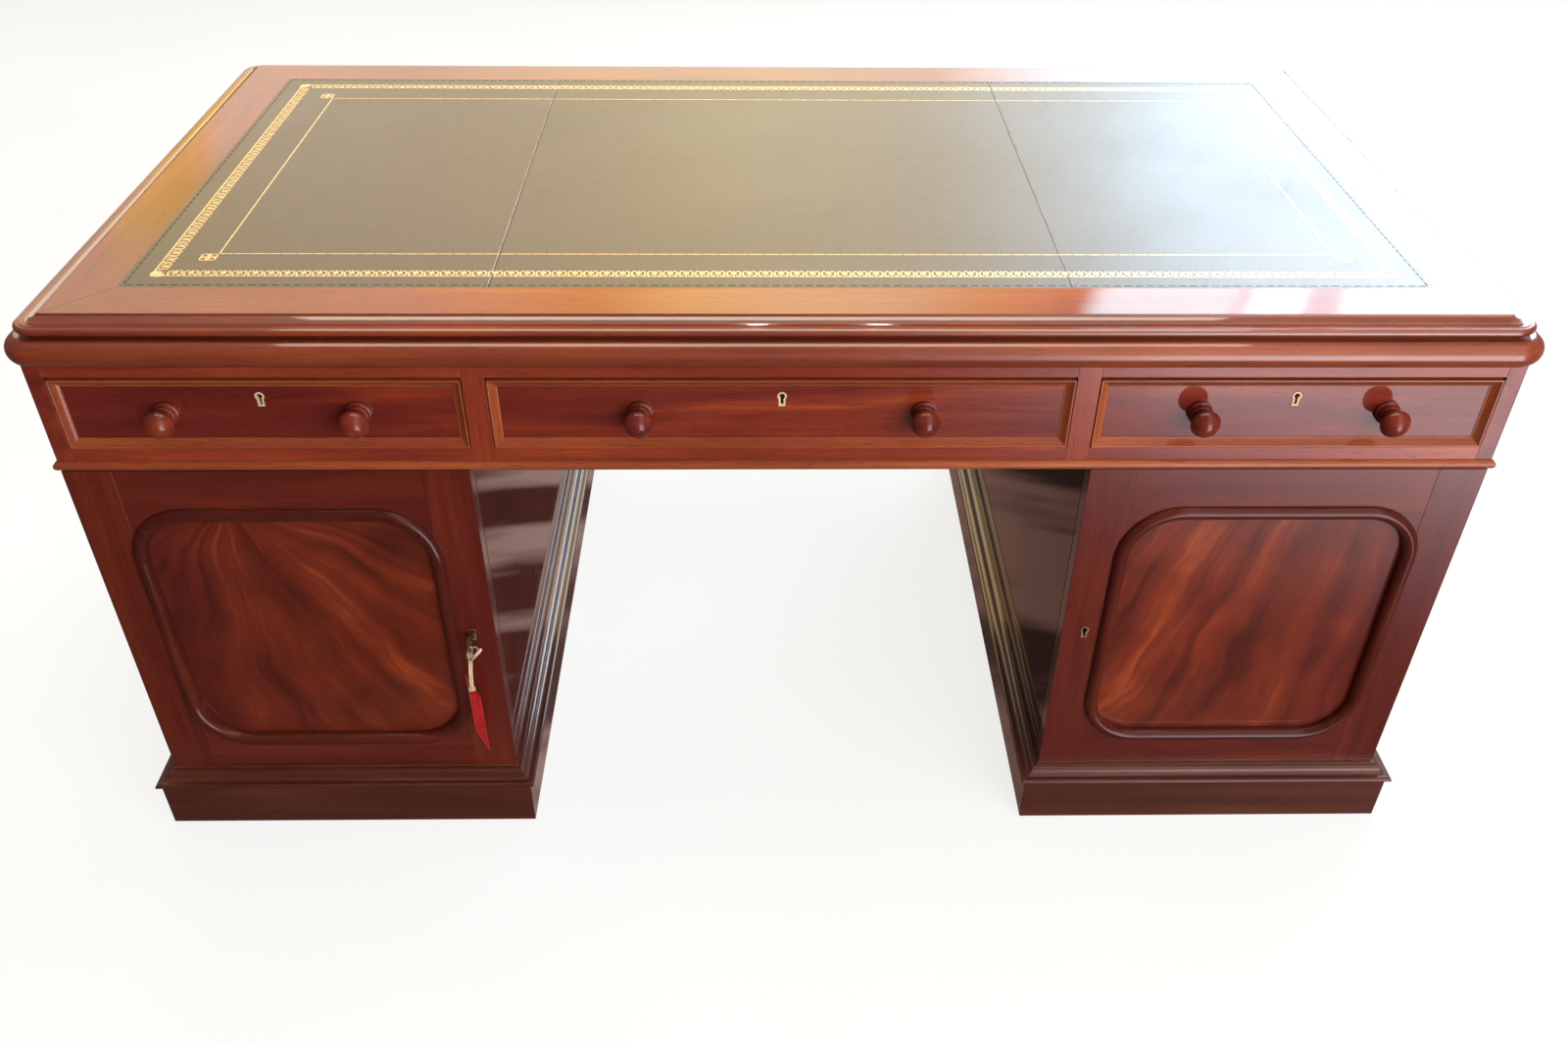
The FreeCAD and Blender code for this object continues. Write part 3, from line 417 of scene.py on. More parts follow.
def metal(name, tones, gloss, patch_scale=90.0, metallic=1.0):
    """Old metal with softened edges: tarnish in patches, and fine scratches."""
    material, tree, shader, place, seed = new_material(name)
    tarnish = noise(tree, place, scale=patch_scale, detail=4.0, seed=seed)
    scratches = noise(tree, scaled(tree, place, SCRATCH_STRETCH), scale=2.0, detail=2.0, seed=seed)
    dulled = between(tree, tarnish, (0.3, 0.7), to=(gloss, gloss + TARNISH_DULLS))
    scratched = between(tree, scratches, (0.5, 0.8), to=(0.0, 0.12))
    soft = soft_edges(tree, METAL_ROUND)
    wire(
        tree, shader, Base_Color=ramp(tree, tarnish, *tones),
        Roughness=maths(tree, "ADD", dulled, scratched),
        Normal=bump(tree, scratches, strength=0.12, depth=PORE_DEPTH, Normal=soft),
    )
    set_values(shader, Metallic=metallic)
    return material


def thread(name, tones, pitch):
    """Twisted cotton: plies as slanted ridges, soft fuzz and uneven tone."""
    material, tree, shader, place, seed = new_material(name)
    _, darkest = tones[0]
    plies = wave(tree, place, pitch, warp=0.6, way="DIAGONAL")
    fuzz = noise(tree, place, scale=1400.0, detail=3.0, seed=seed)
    shade = ramp(tree, noise(tree, place, scale=70.0, detail=3.0, seed=seed), *tones)
    shade = mix(tree, between(tree, plies, (0.0, 0.6), to=(0.45, 0.0)), shade, colour(darkest))
    relief = maths(tree, "ADD", plies, times(tree, fuzz, 0.4))
    wire(tree, shader, Base_Color=shade, Normal=bump(tree, relief, strength=0.6, depth=pitch / 4))
    set_values(shader, Roughness=0.85, Sheen_Weight=0.3, Specular_IOR_Level=0.25)
    return material


def ribbon_cloth(name, tones, pitch):
    """Woven ribbon: ribs across and along, rubbed paler in patches."""
    material, tree, shader, place, seed = new_material(name)
    _, darkest = tones[0]
    ribs = times(tree, *(wave(tree, place, pitch, warp=0.3, way=way) for way in "ZX"))
    shade = ramp(tree, noise(tree, place, scale=45.0, detail=4.0, seed=seed), *tones)
    shade = mix(tree, between(tree, ribs, (0.0, 0.4), to=(0.35, 0.0)), shade, colour(darkest))
    wire(tree, shader, Base_Color=shade, Normal=bump(tree, ribs, strength=0.4, depth=pitch / 3))
    set_values(shader, Roughness=0.6, Sheen_Weight=0.25, Specular_IOR_Level=0.35)
    return material


# Materials on the model's own pieces

FLAT = 0.99
DOOR_STILE = 0.058
DRAWER_SIDE = 0.016
BRASS = three_tones("8f7440", "c0a468", "dfc794")
RUBBED_BRASS = three_tones("d3bd90", "e8d6b0", "f6ead0")
DULL_BRASS = three_tones("5e4634", "8a6c52", "b39678")
STEEL = three_tones("2b2622", "4a433b", "6f675c")
BRONZE = three_tones("352b1c", "5c4c2e", "96835a")


def side_strip(node, a, b):
    """Rule for a ring of mitred strips: which faces are on the strips that run along axis b."""
    low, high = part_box(node)
    centre, half = (low + high) / 2, (high - low) / 2

    def runs_along_b(face):
        middle = face.center
        return half[a] - abs(middle[a] - centre[a]) < half[b] - abs(middle[b] - centre[b])

    return runs_along_b


def paint(node, *materials, pick=None):
    """Gives a node its material, or several, with a rule that picks the number of each face's material."""
    mesh = NODES[node].data
    mesh.materials.clear()
    for material in materials:
        mesh.materials.append(material)
    for face in mesh.polygons:
        face.material_index = int(pick(face)) if pick else 0


def paint_ring(node, woods, a, b):
    """Mitred strips round a frame in the plane of axes a and b, each with its grain along itself."""
    paint(node, woods[a], woods[b], pick=side_strip(node, a, b))


def paint_top_border(top, edge):
    """Boards round the leather: the up-facing flat face is paler than the moulded edge, partly a paler wood
    and partly painted light from above.
    """
    on_side = side_strip("top_border", X, Y)

    def choice(face):
        return on_side(face) + 2 * (face.normal.z < FLAT)

    paint("top_border", top[X], top[Y], edge[X], edge[Y], pick=choice)


def paint_door_frame(node, woods):
    """Upright stiles and level rails."""
    low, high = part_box(node)
    middle = (low.x + high.x) / 2
    reach = (high.x - low.x) / 2 - DOOR_STILE
    paint(node, woods[X], woods[Z], pick=lambda face: abs(face.center.x - middle) > reach)


def paint_drawer_box(node, woods):
    """Drawer sides with their grain from front to back, and the rest across."""
    low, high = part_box(node)

    def on_side(face):
        return min(face.center.x - low.x, high.x - face.center.x) < DRAWER_SIDE

    paint(node, woods[X], woods[Y], pick=on_side)


def finish_pieces():
    """Every piece of the model in its own finish."""
    frieze = boards("frieze_mahogany", FRIEZE, X, Y)
    rail = boards("rail_mahogany", RAIL, X, Z)
    thin = boards("strip_mahogany", STRIP, X, Y, Z)
    front = boards("door_mahogany", DOOR, X, Z)
    plinth = boards("plinth_mahogany", PLINTH, X, Y)
    bolection = boards("bolection_mahogany", BOLECTION, X, Z)
    panel = boards("side_mahogany", SIDE, Z)
    cushion = boards("moulded_mahogany", MOULDED, X, Y)
    edge = boards("edge_mahogany", EDGE, X, Y)
    top = boards("top_mahogany", TOP_WITH_PAINTED_LIGHT, X, Y)
    pale = boards("lining", LINING, X, Y)
    brass = metal("old_brass", BRASS, gloss=0.3)
    inlay = metal("rubbed_brass", RUBBED_BRASS, gloss=0.45, metallic=0.4)
    dull = metal("dull_brass", DULL_BRASS, gloss=0.4, metallic=0.5)
    steel = metal("dark_steel", STEEL, gloss=0.3)
    bronze = metal("key_bronze", BRONZE, gloss=0.4, metallic=0.6)
    paint_top_border(top, edge)
    paint_ring("cushion_moulding", cushion, X, Y)
    paint_ring("frieze_bead", thin, X, Y)
    for node in ("left_plinth", "right_plinth"):
        paint_ring(node, plinth, X, Y)
    paint("frieze_rails", rail[X])
    paint("frieze_back", frieze[X])
    paint("frieze_ends", frieze[Y])
    paint("drawer_partitions", rail[Z])
    for node in ("top_core", "drawer_runners", "locating_pegs"):
        paint(node, pale[Y])
    paint("leather_skins", leather("olive_leather"))
    paint("fixed_hinge_leaves", brass)
    for drawer in ("left_drawer", "centre_drawer", "right_drawer"):
        paint(f"{drawer}_front", frieze[X])
        paint_ring(f"{drawer}_moulding", thin, X, Z)
        paint(f"{drawer}_knobs", frieze[Y])
        paint_drawer_box(f"{drawer}_box", pale)
        paint(f"{drawer}_escutcheon", inlay)
        paint(f"{drawer}_lock", brass)
        paint(f"{drawer}_bolt", steel)
    for side, hand in (("left", -1), ("right", 1)):
        for board in ("outer_side", "inner_side", "back"):
            paint(f"{side}_pedestal_{board}", panel[Z])
        paint(f"{side}_pedestal_boards", pale[X])
        paint_door_frame(f"{side}_door_frame", front)
        paint(f"{side}_door_panel", flame(side, hand))
        paint_ring(f"{side}_door_moulding", bolection, X, Z)
        paint(f"{side}_door_escutcheon", dull)
        for fitting in ("lock", "hinge_leaves"):
            paint(f"{side}_door_{fitting}", brass)
        paint(f"{side}_door_bolt", steel)
    paint("key", bronze)


# Meshes of new pieces


def mesh_object(name, mesh, material):
    """Object from a mesh under construction."""
    data = bpy.data.meshes.new(name)
    mesh.to_mesh(data)
    mesh.free()
    data.materials.append(material)
    piece = bpy.data.objects.new(name, data)
    bpy.context.scene.collection.objects.link(piece)
    return piece


def new_piece(name, mesh, material, body, smooth=False):
    """Closed piece from a mesh under construction, riding on a body."""
    bmesh.ops.recalc_face_normals(mesh, faces=mesh.faces)
    for face in mesh.faces:
        face.smooth = smooth
    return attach(mesh_object(name, mesh, material), body)


def skin(mesh, rings):
    """Faces between rings of points, one after another, and over both ends."""
    for ring, following in zip(rings, rings[1:]):
        for i in range(len(ring)):
            j = (i + 1) % len(ring)
            mesh.faces.new((ring[i], ring[j], following[j], following[i]))
    for end in (rings[0], rings[-1]):
        mesh.faces.new(end)


def run_at(points, i):
    """Way that a line of points runs at one of them."""
    return points[min(i + 1, len(points) - 1)] - points[max(i - 1, 0)]


# Tooling on the leather

LEATHER_LOW, LEATHER_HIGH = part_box("leather_skins")
GOLD = three_tones("e2c383", "f6dfab", "fff0cc")
# Dark tones of the blind-tooled dashes, also used for the painted shadow beside each seam
BURNISHED_AND_SHADOW = three_tones("2a251e", "3a342a", "4c4436")
# Pale tones of the tooled dots: painted highlights in their dents
TOOLING_GLINTS = three_tones("7d7462", "9a907c", "b8ae9c")
SEAM_THREAD = ((0.3, "9a9c9c"), (0.6, "d2d6d8"))
GOLD_PATCH_SCALE = 240.0
FOIL_THICKNESS = 0.0002
FOIL_SUNK = 0.00005
FOIL_STEP = 0.00001
FOIL_LAYERS = 7
BAND_INSET = 0.028
BAND_WIDTH = 0.0170
BAND_PITCH = 0.0188
BAND_LINE = 0.0018
SCROLL_STEPS = 14
SCROLL_TURNS = 0.95
SCROLL_CURL_SHARE = 0.42
SCROLL_LINE = 0.0024
SCROLL_HALF_SHARE = 0.20
SCROLL_RISE_SHARE = 0.42
LEAF_STEPS = 4
LEAF_WIDTH = 0.0030
LEAF_TIP_SHARE = 0.06
FAN_LEAVES = 5
INNER_INSET = 0.090
INNER_LINE = 0.0019
INNER_DASH_SHARE = 0.86
CORNER_SIZE = 0.020
CORNER_LINE = 0.0024
EDGE_INSET = 0.0055
EDGE_PITCH = 0.0129
EDGE_DASH_SHARE = 0.62
EDGE_DASH_WIDTH = 0.0016
EDGE_DOT = 0.0020
SEAM_X = 0.342
SEAM_STITCH = 0.0060
SEAM_STITCH_WIDTH = 0.0018
SEAM_LEAN = 0.0006
SEAM_SHADOW = 0.0012
SEAM_PLY = 0.0012


def edge_frames(inset):
    """Corner, way along, way inwards and length of each side of a rectangle inside the leather."""
    low = LEATHER_LOW + Vector((inset, inset, 0))
    high = LEATHER_HIGH - Vector((inset, inset, 0))
    size = high - low
    yield Vector((low.x, low.y, 0)), RIGHT, BACK, size.x
    yield Vector((high.x, low.y, 0)), BACK, -RIGHT, size.y
    yield Vector((high.x, high.y, 0)), -RIGHT, -BACK, size.x
    yield Vector((low.x, high.y, 0)), -BACK, RIGHT, size.y


def strip(points, widths):
    """Two edges of a flat strip of changing width along points."""
    pairs = []
    for i, (point, width) in enumerate(zip(points, widths)):
        run = run_at(points, i).normalized()
        off = Vector((-run.y, run.x, 0)) * width / 2
        pairs.append((point + off, point - off))
    return pairs


def bar(start, end, width):
    """Straight flat strip."""
    return strip([start, end], [width, width])


def leaf(start, end, width):
    """Flat pointed leaf, widest in the middle."""
    shares = [i / LEAF_STEPS for i in range(LEAF_STEPS + 1)]
    points = [start.lerp(end, share) for share in shares]
    return strip(points, [width * max(math.sin(math.pi * share), LEAF_TIP_SHARE) for share in shares])


def scroll(centre, right, up, hand):
    """Flat tapering spiral that rises from below its centre and curls in."""
    points, widths = [], []
    for i in range(SCROLL_STEPS + 1):
        share = i / SCROLL_STEPS
        angle = -math.pi / 2 + hand * 2 * math.pi * SCROLL_TURNS * share
        reach = 1 - SCROLL_CURL_SHARE * share
        points.append(centre + (right * math.cos(angle) + up * math.sin(angle)) * reach)
        widths.append(SCROLL_LINE * (1 - share / 2))
    return strip(points, widths)


def foil(name, strips, material):
    """Piece made of thin flat strips pressed on the leather, each a closed solid."""
    bottom = LEATHER_HIGH.z - FOIL_SUNK
    mesh = bmesh.new()
    for number, pairs in enumerate(strips):
        top = bottom + FOIL_THICKNESS + FOIL_STEP * (number % FOIL_LAYERS)
        rings = []
        for left, right in pairs:
            corners = ((left, bottom), (left, top), (right, top), (right, bottom))
            rings.append([mesh.verts.new((p.x, p.y, z)) for p, z in corners])
        skin(mesh, rings)
    return new_piece(name, mesh, material, "desk")


def band_strips():
    """Outer band: a line, pairs of scrolls on it with a leaf between, and a fan of leaves at each corner."""
    for corner, along, inward, length in edge_frames(BAND_INSET):
        line = corner + inward * BAND_LINE / 2
        yield bar(line, line + along * length, BAND_LINE)
        run = length - 2 * BAND_WIDTH
        count = round(run / BAND_PITCH)
        pitch = run / count
        for i in range(count):
            middle = corner + along * (BAND_WIDTH + pitch * (i + 1 / 2))
            for hand in (-1, 1):
                centre = middle + along * hand * pitch / 4 + inward * (BAND_WIDTH + BAND_LINE) / 2
                half = along * pitch * SCROLL_HALF_SHARE
                yield scroll(centre, half, inward * BAND_WIDTH * SCROLL_RISE_SHARE, hand)
            yield leaf(middle + inward * BAND_LINE, middle + inward * BAND_WIDTH, LEAF_WIDTH)
        for i in range(FAN_LEAVES):
            angle = math.pi / 2 * (i + 1 / 2) / FAN_LEAVES
            out = along * math.cos(angle) + inward * math.sin(angle)
            yield leaf(corner, corner + out * BAND_WIDTH, 2 * LEAF_WIDTH)


def inner_strips():
    """Inner line of long dashes with a bead in each gap, and a block of four curls outside each corner."""
    for corner, along, inward, length in edge_frames(INNER_INSET):
        count = round(length / BAND_PITCH)
        pitch = length / count
        for i in range(count):
            start = corner + along * pitch * i
            yield bar(start, start + along * pitch * INNER_DASH_SHARE, INNER_LINE)
            gap = start + along * pitch * (1 + INNER_DASH_SHARE) / 2
            yield leaf(gap - along * INNER_LINE / 2, gap + along * INNER_LINE / 2, INNER_LINE)
        outward = -(along + inward)
        block = corner + outward * CORNER_SIZE / 2
        quarter = CORNER_SIZE / 4
        for a in (-1, 1):
            for b in (-1, 1):
                centre = block + (along * a + inward * b) * quarter
                yield scroll(centre, along * quarter, inward * b * quarter, a)
        for way in (along, inward):
            yield bar(block - way * 2 * quarter, block + way * 2 * quarter, CORNER_LINE)


def edge_repeats():
    """Start, way along and length of each repeat of the tooling round the leather's edge."""
    for corner, along, _, length in edge_frames(EDGE_INSET):
        count = round(length / EDGE_PITCH)
        pitch = length / count
        for i in range(count):
            yield corner + along * pitch * i, along, pitch


def edge_dashes():
    """Blind-tooled dashes round the leather."""
    for start, along, pitch in edge_repeats():
        start = start + along * pitch * (1 - EDGE_DASH_SHARE) / 2
        yield bar(start, start + along * pitch * EDGE_DASH_SHARE, EDGE_DASH_WIDTH)


def edge_dots():
    """Blind-tooled dots between the dashes, pale as painted highlights in their dents."""
    for middle, along, _ in edge_repeats():
        yield leaf(middle - along * EDGE_DOT / 2, middle + along * EDGE_DOT / 2, EDGE_DOT)


def seam_stitches():
    """Slanting stitches along the two seams between the skins."""
    run = LEATHER_HIGH.y - LEATHER_LOW.y
    count = round(run / SEAM_STITCH)
    pitch = run / count
    for x in (-SEAM_X, SEAM_X):
        for i in range(count):
            start = Vector((x - SEAM_LEAN, LEATHER_LOW.y + pitch * i, 0))
            yield leaf(start, start + Vector((2 * SEAM_LEAN, pitch, 0)), SEAM_STITCH_WIDTH)


def seam_edges():
    """Painted shadow: a dark strip on the middle skin beside each seam."""
    for side in (-1, 1):
        x = side * (SEAM_X - SEAM_STITCH_WIDTH)
        yield bar(Vector((x, LEATHER_LOW.y, 0)), Vector((x, LEATHER_HIGH.y, 0)), SEAM_SHADOW)


def tool_leather():
    """Gold and blind tooling, and the seams."""
    gold = metal("gold_leaf", GOLD, gloss=0.3, patch_scale=GOLD_PATCH_SCALE, metallic=0.6)
    dark = metal("burnished_tooling_and_shadow", BURNISHED_AND_SHADOW, gloss=0.3)
    bright = metal("tooling_glints", TOOLING_GLINTS, gloss=0.3)
    stitch = thread("seam_thread", SEAM_THREAD, SEAM_PLY)
    foil("gold_band", band_strips(), gold)
    foil("gold_line", inner_strips(), gold)
    foil("edge_dashes", edge_dashes(), dark)
    # The dots' pale colour is a painted highlight
    foil("edge_dots", edge_dots(), bright)
    # Painted shadow: dark strips beside the seams
    foil("seam_edges", seam_edges(), dark)
    foil("seam_stitches", seam_stitches(), stitch)


# String and tag on the key

COTTON = three_tones("a88f72", "e2d0b0", "f6ecd8")
COTTON_PLY = 0.0016
STRING_DIAMETER = 0.0026
STRING_Y = -0.47575
STRING_ROUTE = (
    (-0.4126, 0.2625), (-0.4112, 0.2855), (-0.4082, 0.3095), (-0.4072, 0.3235), (-0.4076, 0.3371),
    (-0.4004, 0.3371), (-0.4044, 0.3235), (-0.4054, 0.3095), (-0.4084, 0.2855), (-0.4098, 0.2625),
)
STRING_ROUND_STEPS = 4
STRING_CURVE_STEPS = 12


def smooth_line(name, points, diameter, material):
    """Round string on one open spline through control points, riding with the tag."""
    data = bpy.data.curves.new(name, "CURVE")
    data.dimensions = "3D"
    data.bevel_depth = diameter / 2
    data.bevel_resolution = STRING_ROUND_STEPS
    data.resolution_u = STRING_CURVE_STEPS
    data.use_fill_caps = True
    spline = data.splines.new("NURBS")
    spline.points.add(len(points) - 1)
    for control, point in zip(spline.points, points):
        control.co = (*point, 1)
    spline.order_u = 3
    spline.use_endpoint_u = True
    data.materials.append(material)
    piece = bpy.data.objects.new(name, data)
    bpy.context.scene.collection.objects.link(piece)
    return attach(piece, "tag")


# The loop and the tail are given as offsets from the neck, where the string is tied under the key's bow

WRAP_RADIUS = 0.0011
WRAP_TURNS = 3
WRAP_STEPS = 16
TUBE_SIDES = 8
NECK_PLACE = Vector((-0.4060, STRING_Y, 0.3190))
NECK_HALF = 0.0036
TAG_END_PLACE = Vector((-0.4113, STRING_Y, 0.2600))
TAG_END_HALF = 0.0040
LOOP_POINTS = (
    (0.0056, -0.0012, 0.0172), (0.0075, -0.0020, 0.0200), (0.0108, -0.0030, 0.0204),
    (0.0130, -0.0035, 0.0172), (0.0128, -0.0035, 0.0125), (0.0098, -0.0035, 0.0075),
    (0.0050, -0.0030, 0.0025), (0.0015, -0.0026, -0.0010),
)
TAIL_POINTS = (
    (0.0014, -0.0052, -0.0012), (0.0077, -0.0125, 0.0106), (0.0122, -0.0138, 0.0168),
    (0.0170, -0.0138, 0.0226), (0.0200, -0.0138, 0.0262),
)
TAIL_RADII = (0.0014, 0.0023, 0.0024, 0.0024, 0.0015)


def sweep(name, points, radii, reference, material):
    """Round tube through points with a radius at each, its ends closed, riding with the tag."""
    mesh = bmesh.new()
    turns = [2 * math.pi * k / TUBE_SIDES for k in range(TUBE_SIDES)]
    rings = []
    for i, (point, radius) in enumerate(zip(points, radii)):
        run = run_at(points, i)
        side = run.cross(reference).normalized()
        other = run.cross(side).normalized()
        spokes = [side * math.cos(turn) + other * math.sin(turn) for turn in turns]
        rings.append([mesh.verts.new(point + spoke * radius) for spoke in spokes])
    skin(mesh, rings)
    return new_piece(name, mesh, material, "tag", smooth=True)


def wraps(name, place, half_width, material):
    """String wound round both strands of the string, with its ends tucked in."""
    points = []
    last = WRAP_TURNS * WRAP_STEPS
    for i in range(last + 1):
        angle = 2 * math.pi * i / WRAP_STEPS
        tuck = 1 / 2 if i in (0, last) else 1
        ring = Vector((math.cos(angle) * half_width, math.sin(angle) * 2 * WRAP_RADIUS, 0)) * tuck
        points.append(place + ring + Vector((0, 0, 2 * WRAP_RADIUS * i / WRAP_STEPS)))
    return sweep(name, points, [WRAP_RADIUS] * len(points), UP, material)


def tie_string(material):
    """Knots of the string: wraps under the bow with a loop and a tail, and wraps at the tag."""
    loop = [NECK_PLACE + Vector(offset) for offset in LOOP_POINTS]
    tail = [NECK_PLACE + Vector(offset) for offset in TAIL_POINTS]
    return [
        wraps("string_wraps", NECK_PLACE, NECK_HALF, material),
        wraps("tag_wraps", TAG_END_PLACE, TAG_END_HALF, material),
        sweep("string_loop", loop, [WRAP_RADIUS] * len(loop), BACK, material),
        sweep("string_tail", tail, TAIL_RADII, BACK, material),
    ]


TAG_LOW, TAG_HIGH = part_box("key_tag")
TAG_RED = three_tones("c0141c", "e2232a", "ee3f42")
TAG_WEAVE = 0.0009
TAG_SLANT = 0.043
TAG_ROWS = 36
TAG_COLUMNS = 12
TAG_THICKNESS = 0.0012
TAG_CURL = 0.0008
TAG_CREASE = 0.0009
TAG_CREASE_SPAN = (0.12, 0.72)


def make_tag(material):
    """Slant-cut ribbon tag, curled along, with a crease down the middle."""
    width = TAG_HIGH.x - TAG_LOW.x
    side = TAG_HIGH.z - TAG_LOW.z - TAG_SLANT
    middle = (TAG_LOW.y + TAG_HIGH.y) / 2
    first, last = TAG_CREASE_SPAN
    mesh = bmesh.new()
    grid = []
    for i in range(TAG_ROWS + 1):
        down = i / TAG_ROWS
        row = []
        for j in range(TAG_COLUMNS + 1):
            across = j / TAG_COLUMNS
            creased = 2 * j == TAG_COLUMNS and first < down < last
            curl = TAG_CURL * math.sin(2 * math.pi * down) * (across - 1 / 2)
            y = middle + curl + TAG_CREASE * creased
            z = TAG_HIGH.z - TAG_SLANT * across - side * down
            row.append(mesh.verts.new((TAG_LOW.x + width * across, y, z)))
        grid.append(row)
    for upper, lower in zip(grid, grid[1:]):
        for j in range(TAG_COLUMNS):
            mesh.faces.new((upper[j], lower[j], lower[j + 1], upper[j + 1]))
    bmesh.ops.solidify(mesh, geom=mesh.faces[:], thickness=TAG_THICKNESS)
    return new_piece("red_tag", mesh, material, "tag", smooth=True)


def hang_tag():
    """String through the bow of the key, and the tag on its ends."""
    cotton = thread("cotton_string", COTTON, COTTON_PLY)
    red = ribbon_cloth("red_ribbon", TAG_RED, TAG_WEAVE)
    route = [(x, STRING_Y, z) for x, z in STRING_ROUTE]
    string = smooth_line("string", route, STRING_DIAMETER, cotton)
    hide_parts("key_string")
    tag = make_tag(red)
    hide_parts("key_tag")
    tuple(route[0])
    tie_string(cotton)


# Floor and backdrop

STAGE_REACH = 14.0
STAGE_SIDES = 48
STAGE_HEIGHT = 16.0
STAGE_SWEEP = 2.5
STAGE_RINGS = 8
STAGE_WELD = 0.001
FLOOR_TONES = ((0.3, "768088"), (0.7, "7c868e"))
FLOOR_GLOW_TONES = ((0.3, "fbfaf8"), (0.7, "fdfcfa"))
FLOOR_GLOW = 0.82


def stage_mesh(name, material, *faces):
    """Piece of the stage from its faces' corners."""
    mesh = bmesh.new()
    for corners in faces:
        mesh.faces.new([mesh.verts.new(corner) for corner in corners])
    bmesh.ops.remove_doubles(mesh, verts=mesh.verts, dist=STAGE_WELD)
    piece = mesh_object(name, mesh, material)
    return piece


def stage_rings(outline):
    """Faces of a round piece of the stage from its outline of (reach, height) points."""
    for side in range(STAGE_SIDES):
        start, end = (math.tau * (side + k) / STAGE_SIDES for k in (0, 1))
        for (near, low), (far, high) in zip(outline, outline[1:]):
            ring = ((far, high, start), (far, high, end), (near, low, end), (near, low, start))
            corners = [(reach * math.cos(turn), reach * math.sin(turn), z) for reach, z, turn in ring]
            yield corners if near else corners[:3]


def make_floor():
    """Plain pale floor, and a plain pale backdrop that sweeps up from it far away."""
    material, tree, shader, place, seed = new_material("pale_floor")
    shade = ramp(tree, noise(tree, place, scale=2.0, detail=3.0, seed=seed), *FLOOR_TONES)
    glow = ramp(tree, noise(tree, place, scale=1.0, detail=2.0, seed=seed), *FLOOR_GLOW_TONES)
    wire(tree, shader, Base_Color=shade, Emission_Color=glow)
    set_values(shader, Roughness=0.9, Specular_IOR_Level=0.1, Emission_Strength=FLOOR_GLOW)
    level = STAGE_REACH - STAGE_SWEEP
    rise = [(level, 0.0)]
    for step in range(1, STAGE_RINGS + 1):
        turn = math.pi / 2 * step / STAGE_RINGS
        rise.append((level + STAGE_SWEEP * math.sin(turn), STAGE_SWEEP * (1 - math.cos(turn))))
    rise.append((STAGE_REACH, STAGE_HEIGHT))
    floor = stage_mesh("floor", material, *stage_rings([(0.0, 0.0), (level, 0.0)]))
    backdrop = stage_mesh("backdrop", material, *stage_rings(rise))
    backdrop.visible_shadow = False
    for piece in (floor, backdrop):
        piece.visible_glossy = False
        piece.visible_diffuse = False


# Window wall behind the desk: (x, colour) stops of its lower and upper rows, from left to right

WALL_Y = 4.3
WALL_LEFT, WALL_RIGHT = -4.6, 4.8
WALL_LOW, WALL_HIGH = 1.4, 3.9
WALL_TURN = 2.85
WALL_BLEND = 0.15
WALL_WAVER = 0.12
WALL_STRENGTH = 10.0
PANE = "f3f8ff"
FIRST_PANE = "ccdbe2"
MULLION = "c0bcc8"
UPPER_WALL = (
    (-4.60, "766f61"), (-3.30, "7c7361"), (-2.30, "8b765d"), (-1.80, "997c65"), (-0.80, "a47c4b"),
    (-0.35, "b79965"), (0.18, "baa076"), (0.66, "b39b76"), (1.13, "a27f59"), (1.64, "8c604e"),
    (1.76, FIRST_PANE), (2.32, FIRST_PANE), (2.34, MULLION), (2.40, MULLION), (2.42, PANE),
    (2.70, PANE), (2.74, MULLION), (2.90, MULLION), (2.94, PANE), (4.80, PANE),
)
LOWER_WALL = (
    (-4.60, "766f68"), (-3.10, "7a6c58"), (-2.98, "85784a"), (-2.66, "82703f"), (-2.50, "8a7350"),
    (-2.40, "81776a"), (-1.40, "817868"), (0.00, "978f76"), (0.80, "8e897d"),
    (1.40, "aabac4"), (2.10, "cce6fa"), (4.80, "e2f8ff"),
)


def make_wall():
    """Bright wall with windows, which the polish mirrors: warm at left, white at right."""
    material = bpy.data.materials.new("window_wall")
    material.use_nodes = True
    tree = material.node_tree
    tree.nodes.clear()
    place = add(tree, "TexCoord").outputs["Object"]
    axes = add(tree, "SeparateXYZ", {0: place}).outputs
    unevenness = noise(tree, place, scale=0.8, detail=3.0)
    waver = between(tree, unevenness, (0.3, 0.7), to=(-WALL_WAVER, WALL_WAVER))
    across = between(tree, maths(tree, "ADD", axes["X"], waver), (WALL_LEFT, WALL_RIGHT))
    rows = []
    for stops in (LOWER_WALL, UPPER_WALL):
        shares = [((x - WALL_LEFT) / (WALL_RIGHT - WALL_LEFT), code) for x, code in stops]
        rows.append(ramp(tree, across, *shares))
    upper = between(tree, axes["Z"], (WALL_TURN - WALL_BLEND, WALL_TURN + WALL_BLEND))
    glow = add(tree, "Emission", {"Color": mix(tree, upper, *rows), "Strength": WALL_STRENGTH})
    output = add(tree, "OutputMaterial")
    tree.links.new(glow.outputs["Emission"], output.inputs["Surface"])
    left, right = ([(x, WALL_Y, z) for z in (WALL_LOW, WALL_HIGH)] for x in (WALL_LEFT, WALL_RIGHT))
    wall = stage_mesh("window_wall", material, [*left, *reversed(right)])
    wall.visible_camera = False


# Lights and room

LIGHT_TARGET = Vector((0, 0, 0.8))
LAMP_XS = (-0.04, 0.60)


def soft_light(name, place, size, radiance, tint, mirrored=True):
    """Soft rectangular light that faces the desk, isn't seen itself and may be left out of reflections."""
    data = bpy.data.lights.new(name, "AREA")
    data.shape = "RECTANGLE"
    data.size, data.size_y = size
    data.energy = radiance * math.pi * size[0] * size[1]
    data.color = colour(tint)[:3]
    light = bpy.data.objects.new(name, data)
    light.location = place
    light.rotation_mode = "QUATERNION"
    light.rotation_quaternion = (LIGHT_TARGET - Vector(place)).to_track_quat("-Z", "Y")
    light.visible_camera = False
    light.visible_glossy = mirrored
    bpy.context.scene.collection.objects.link(light)


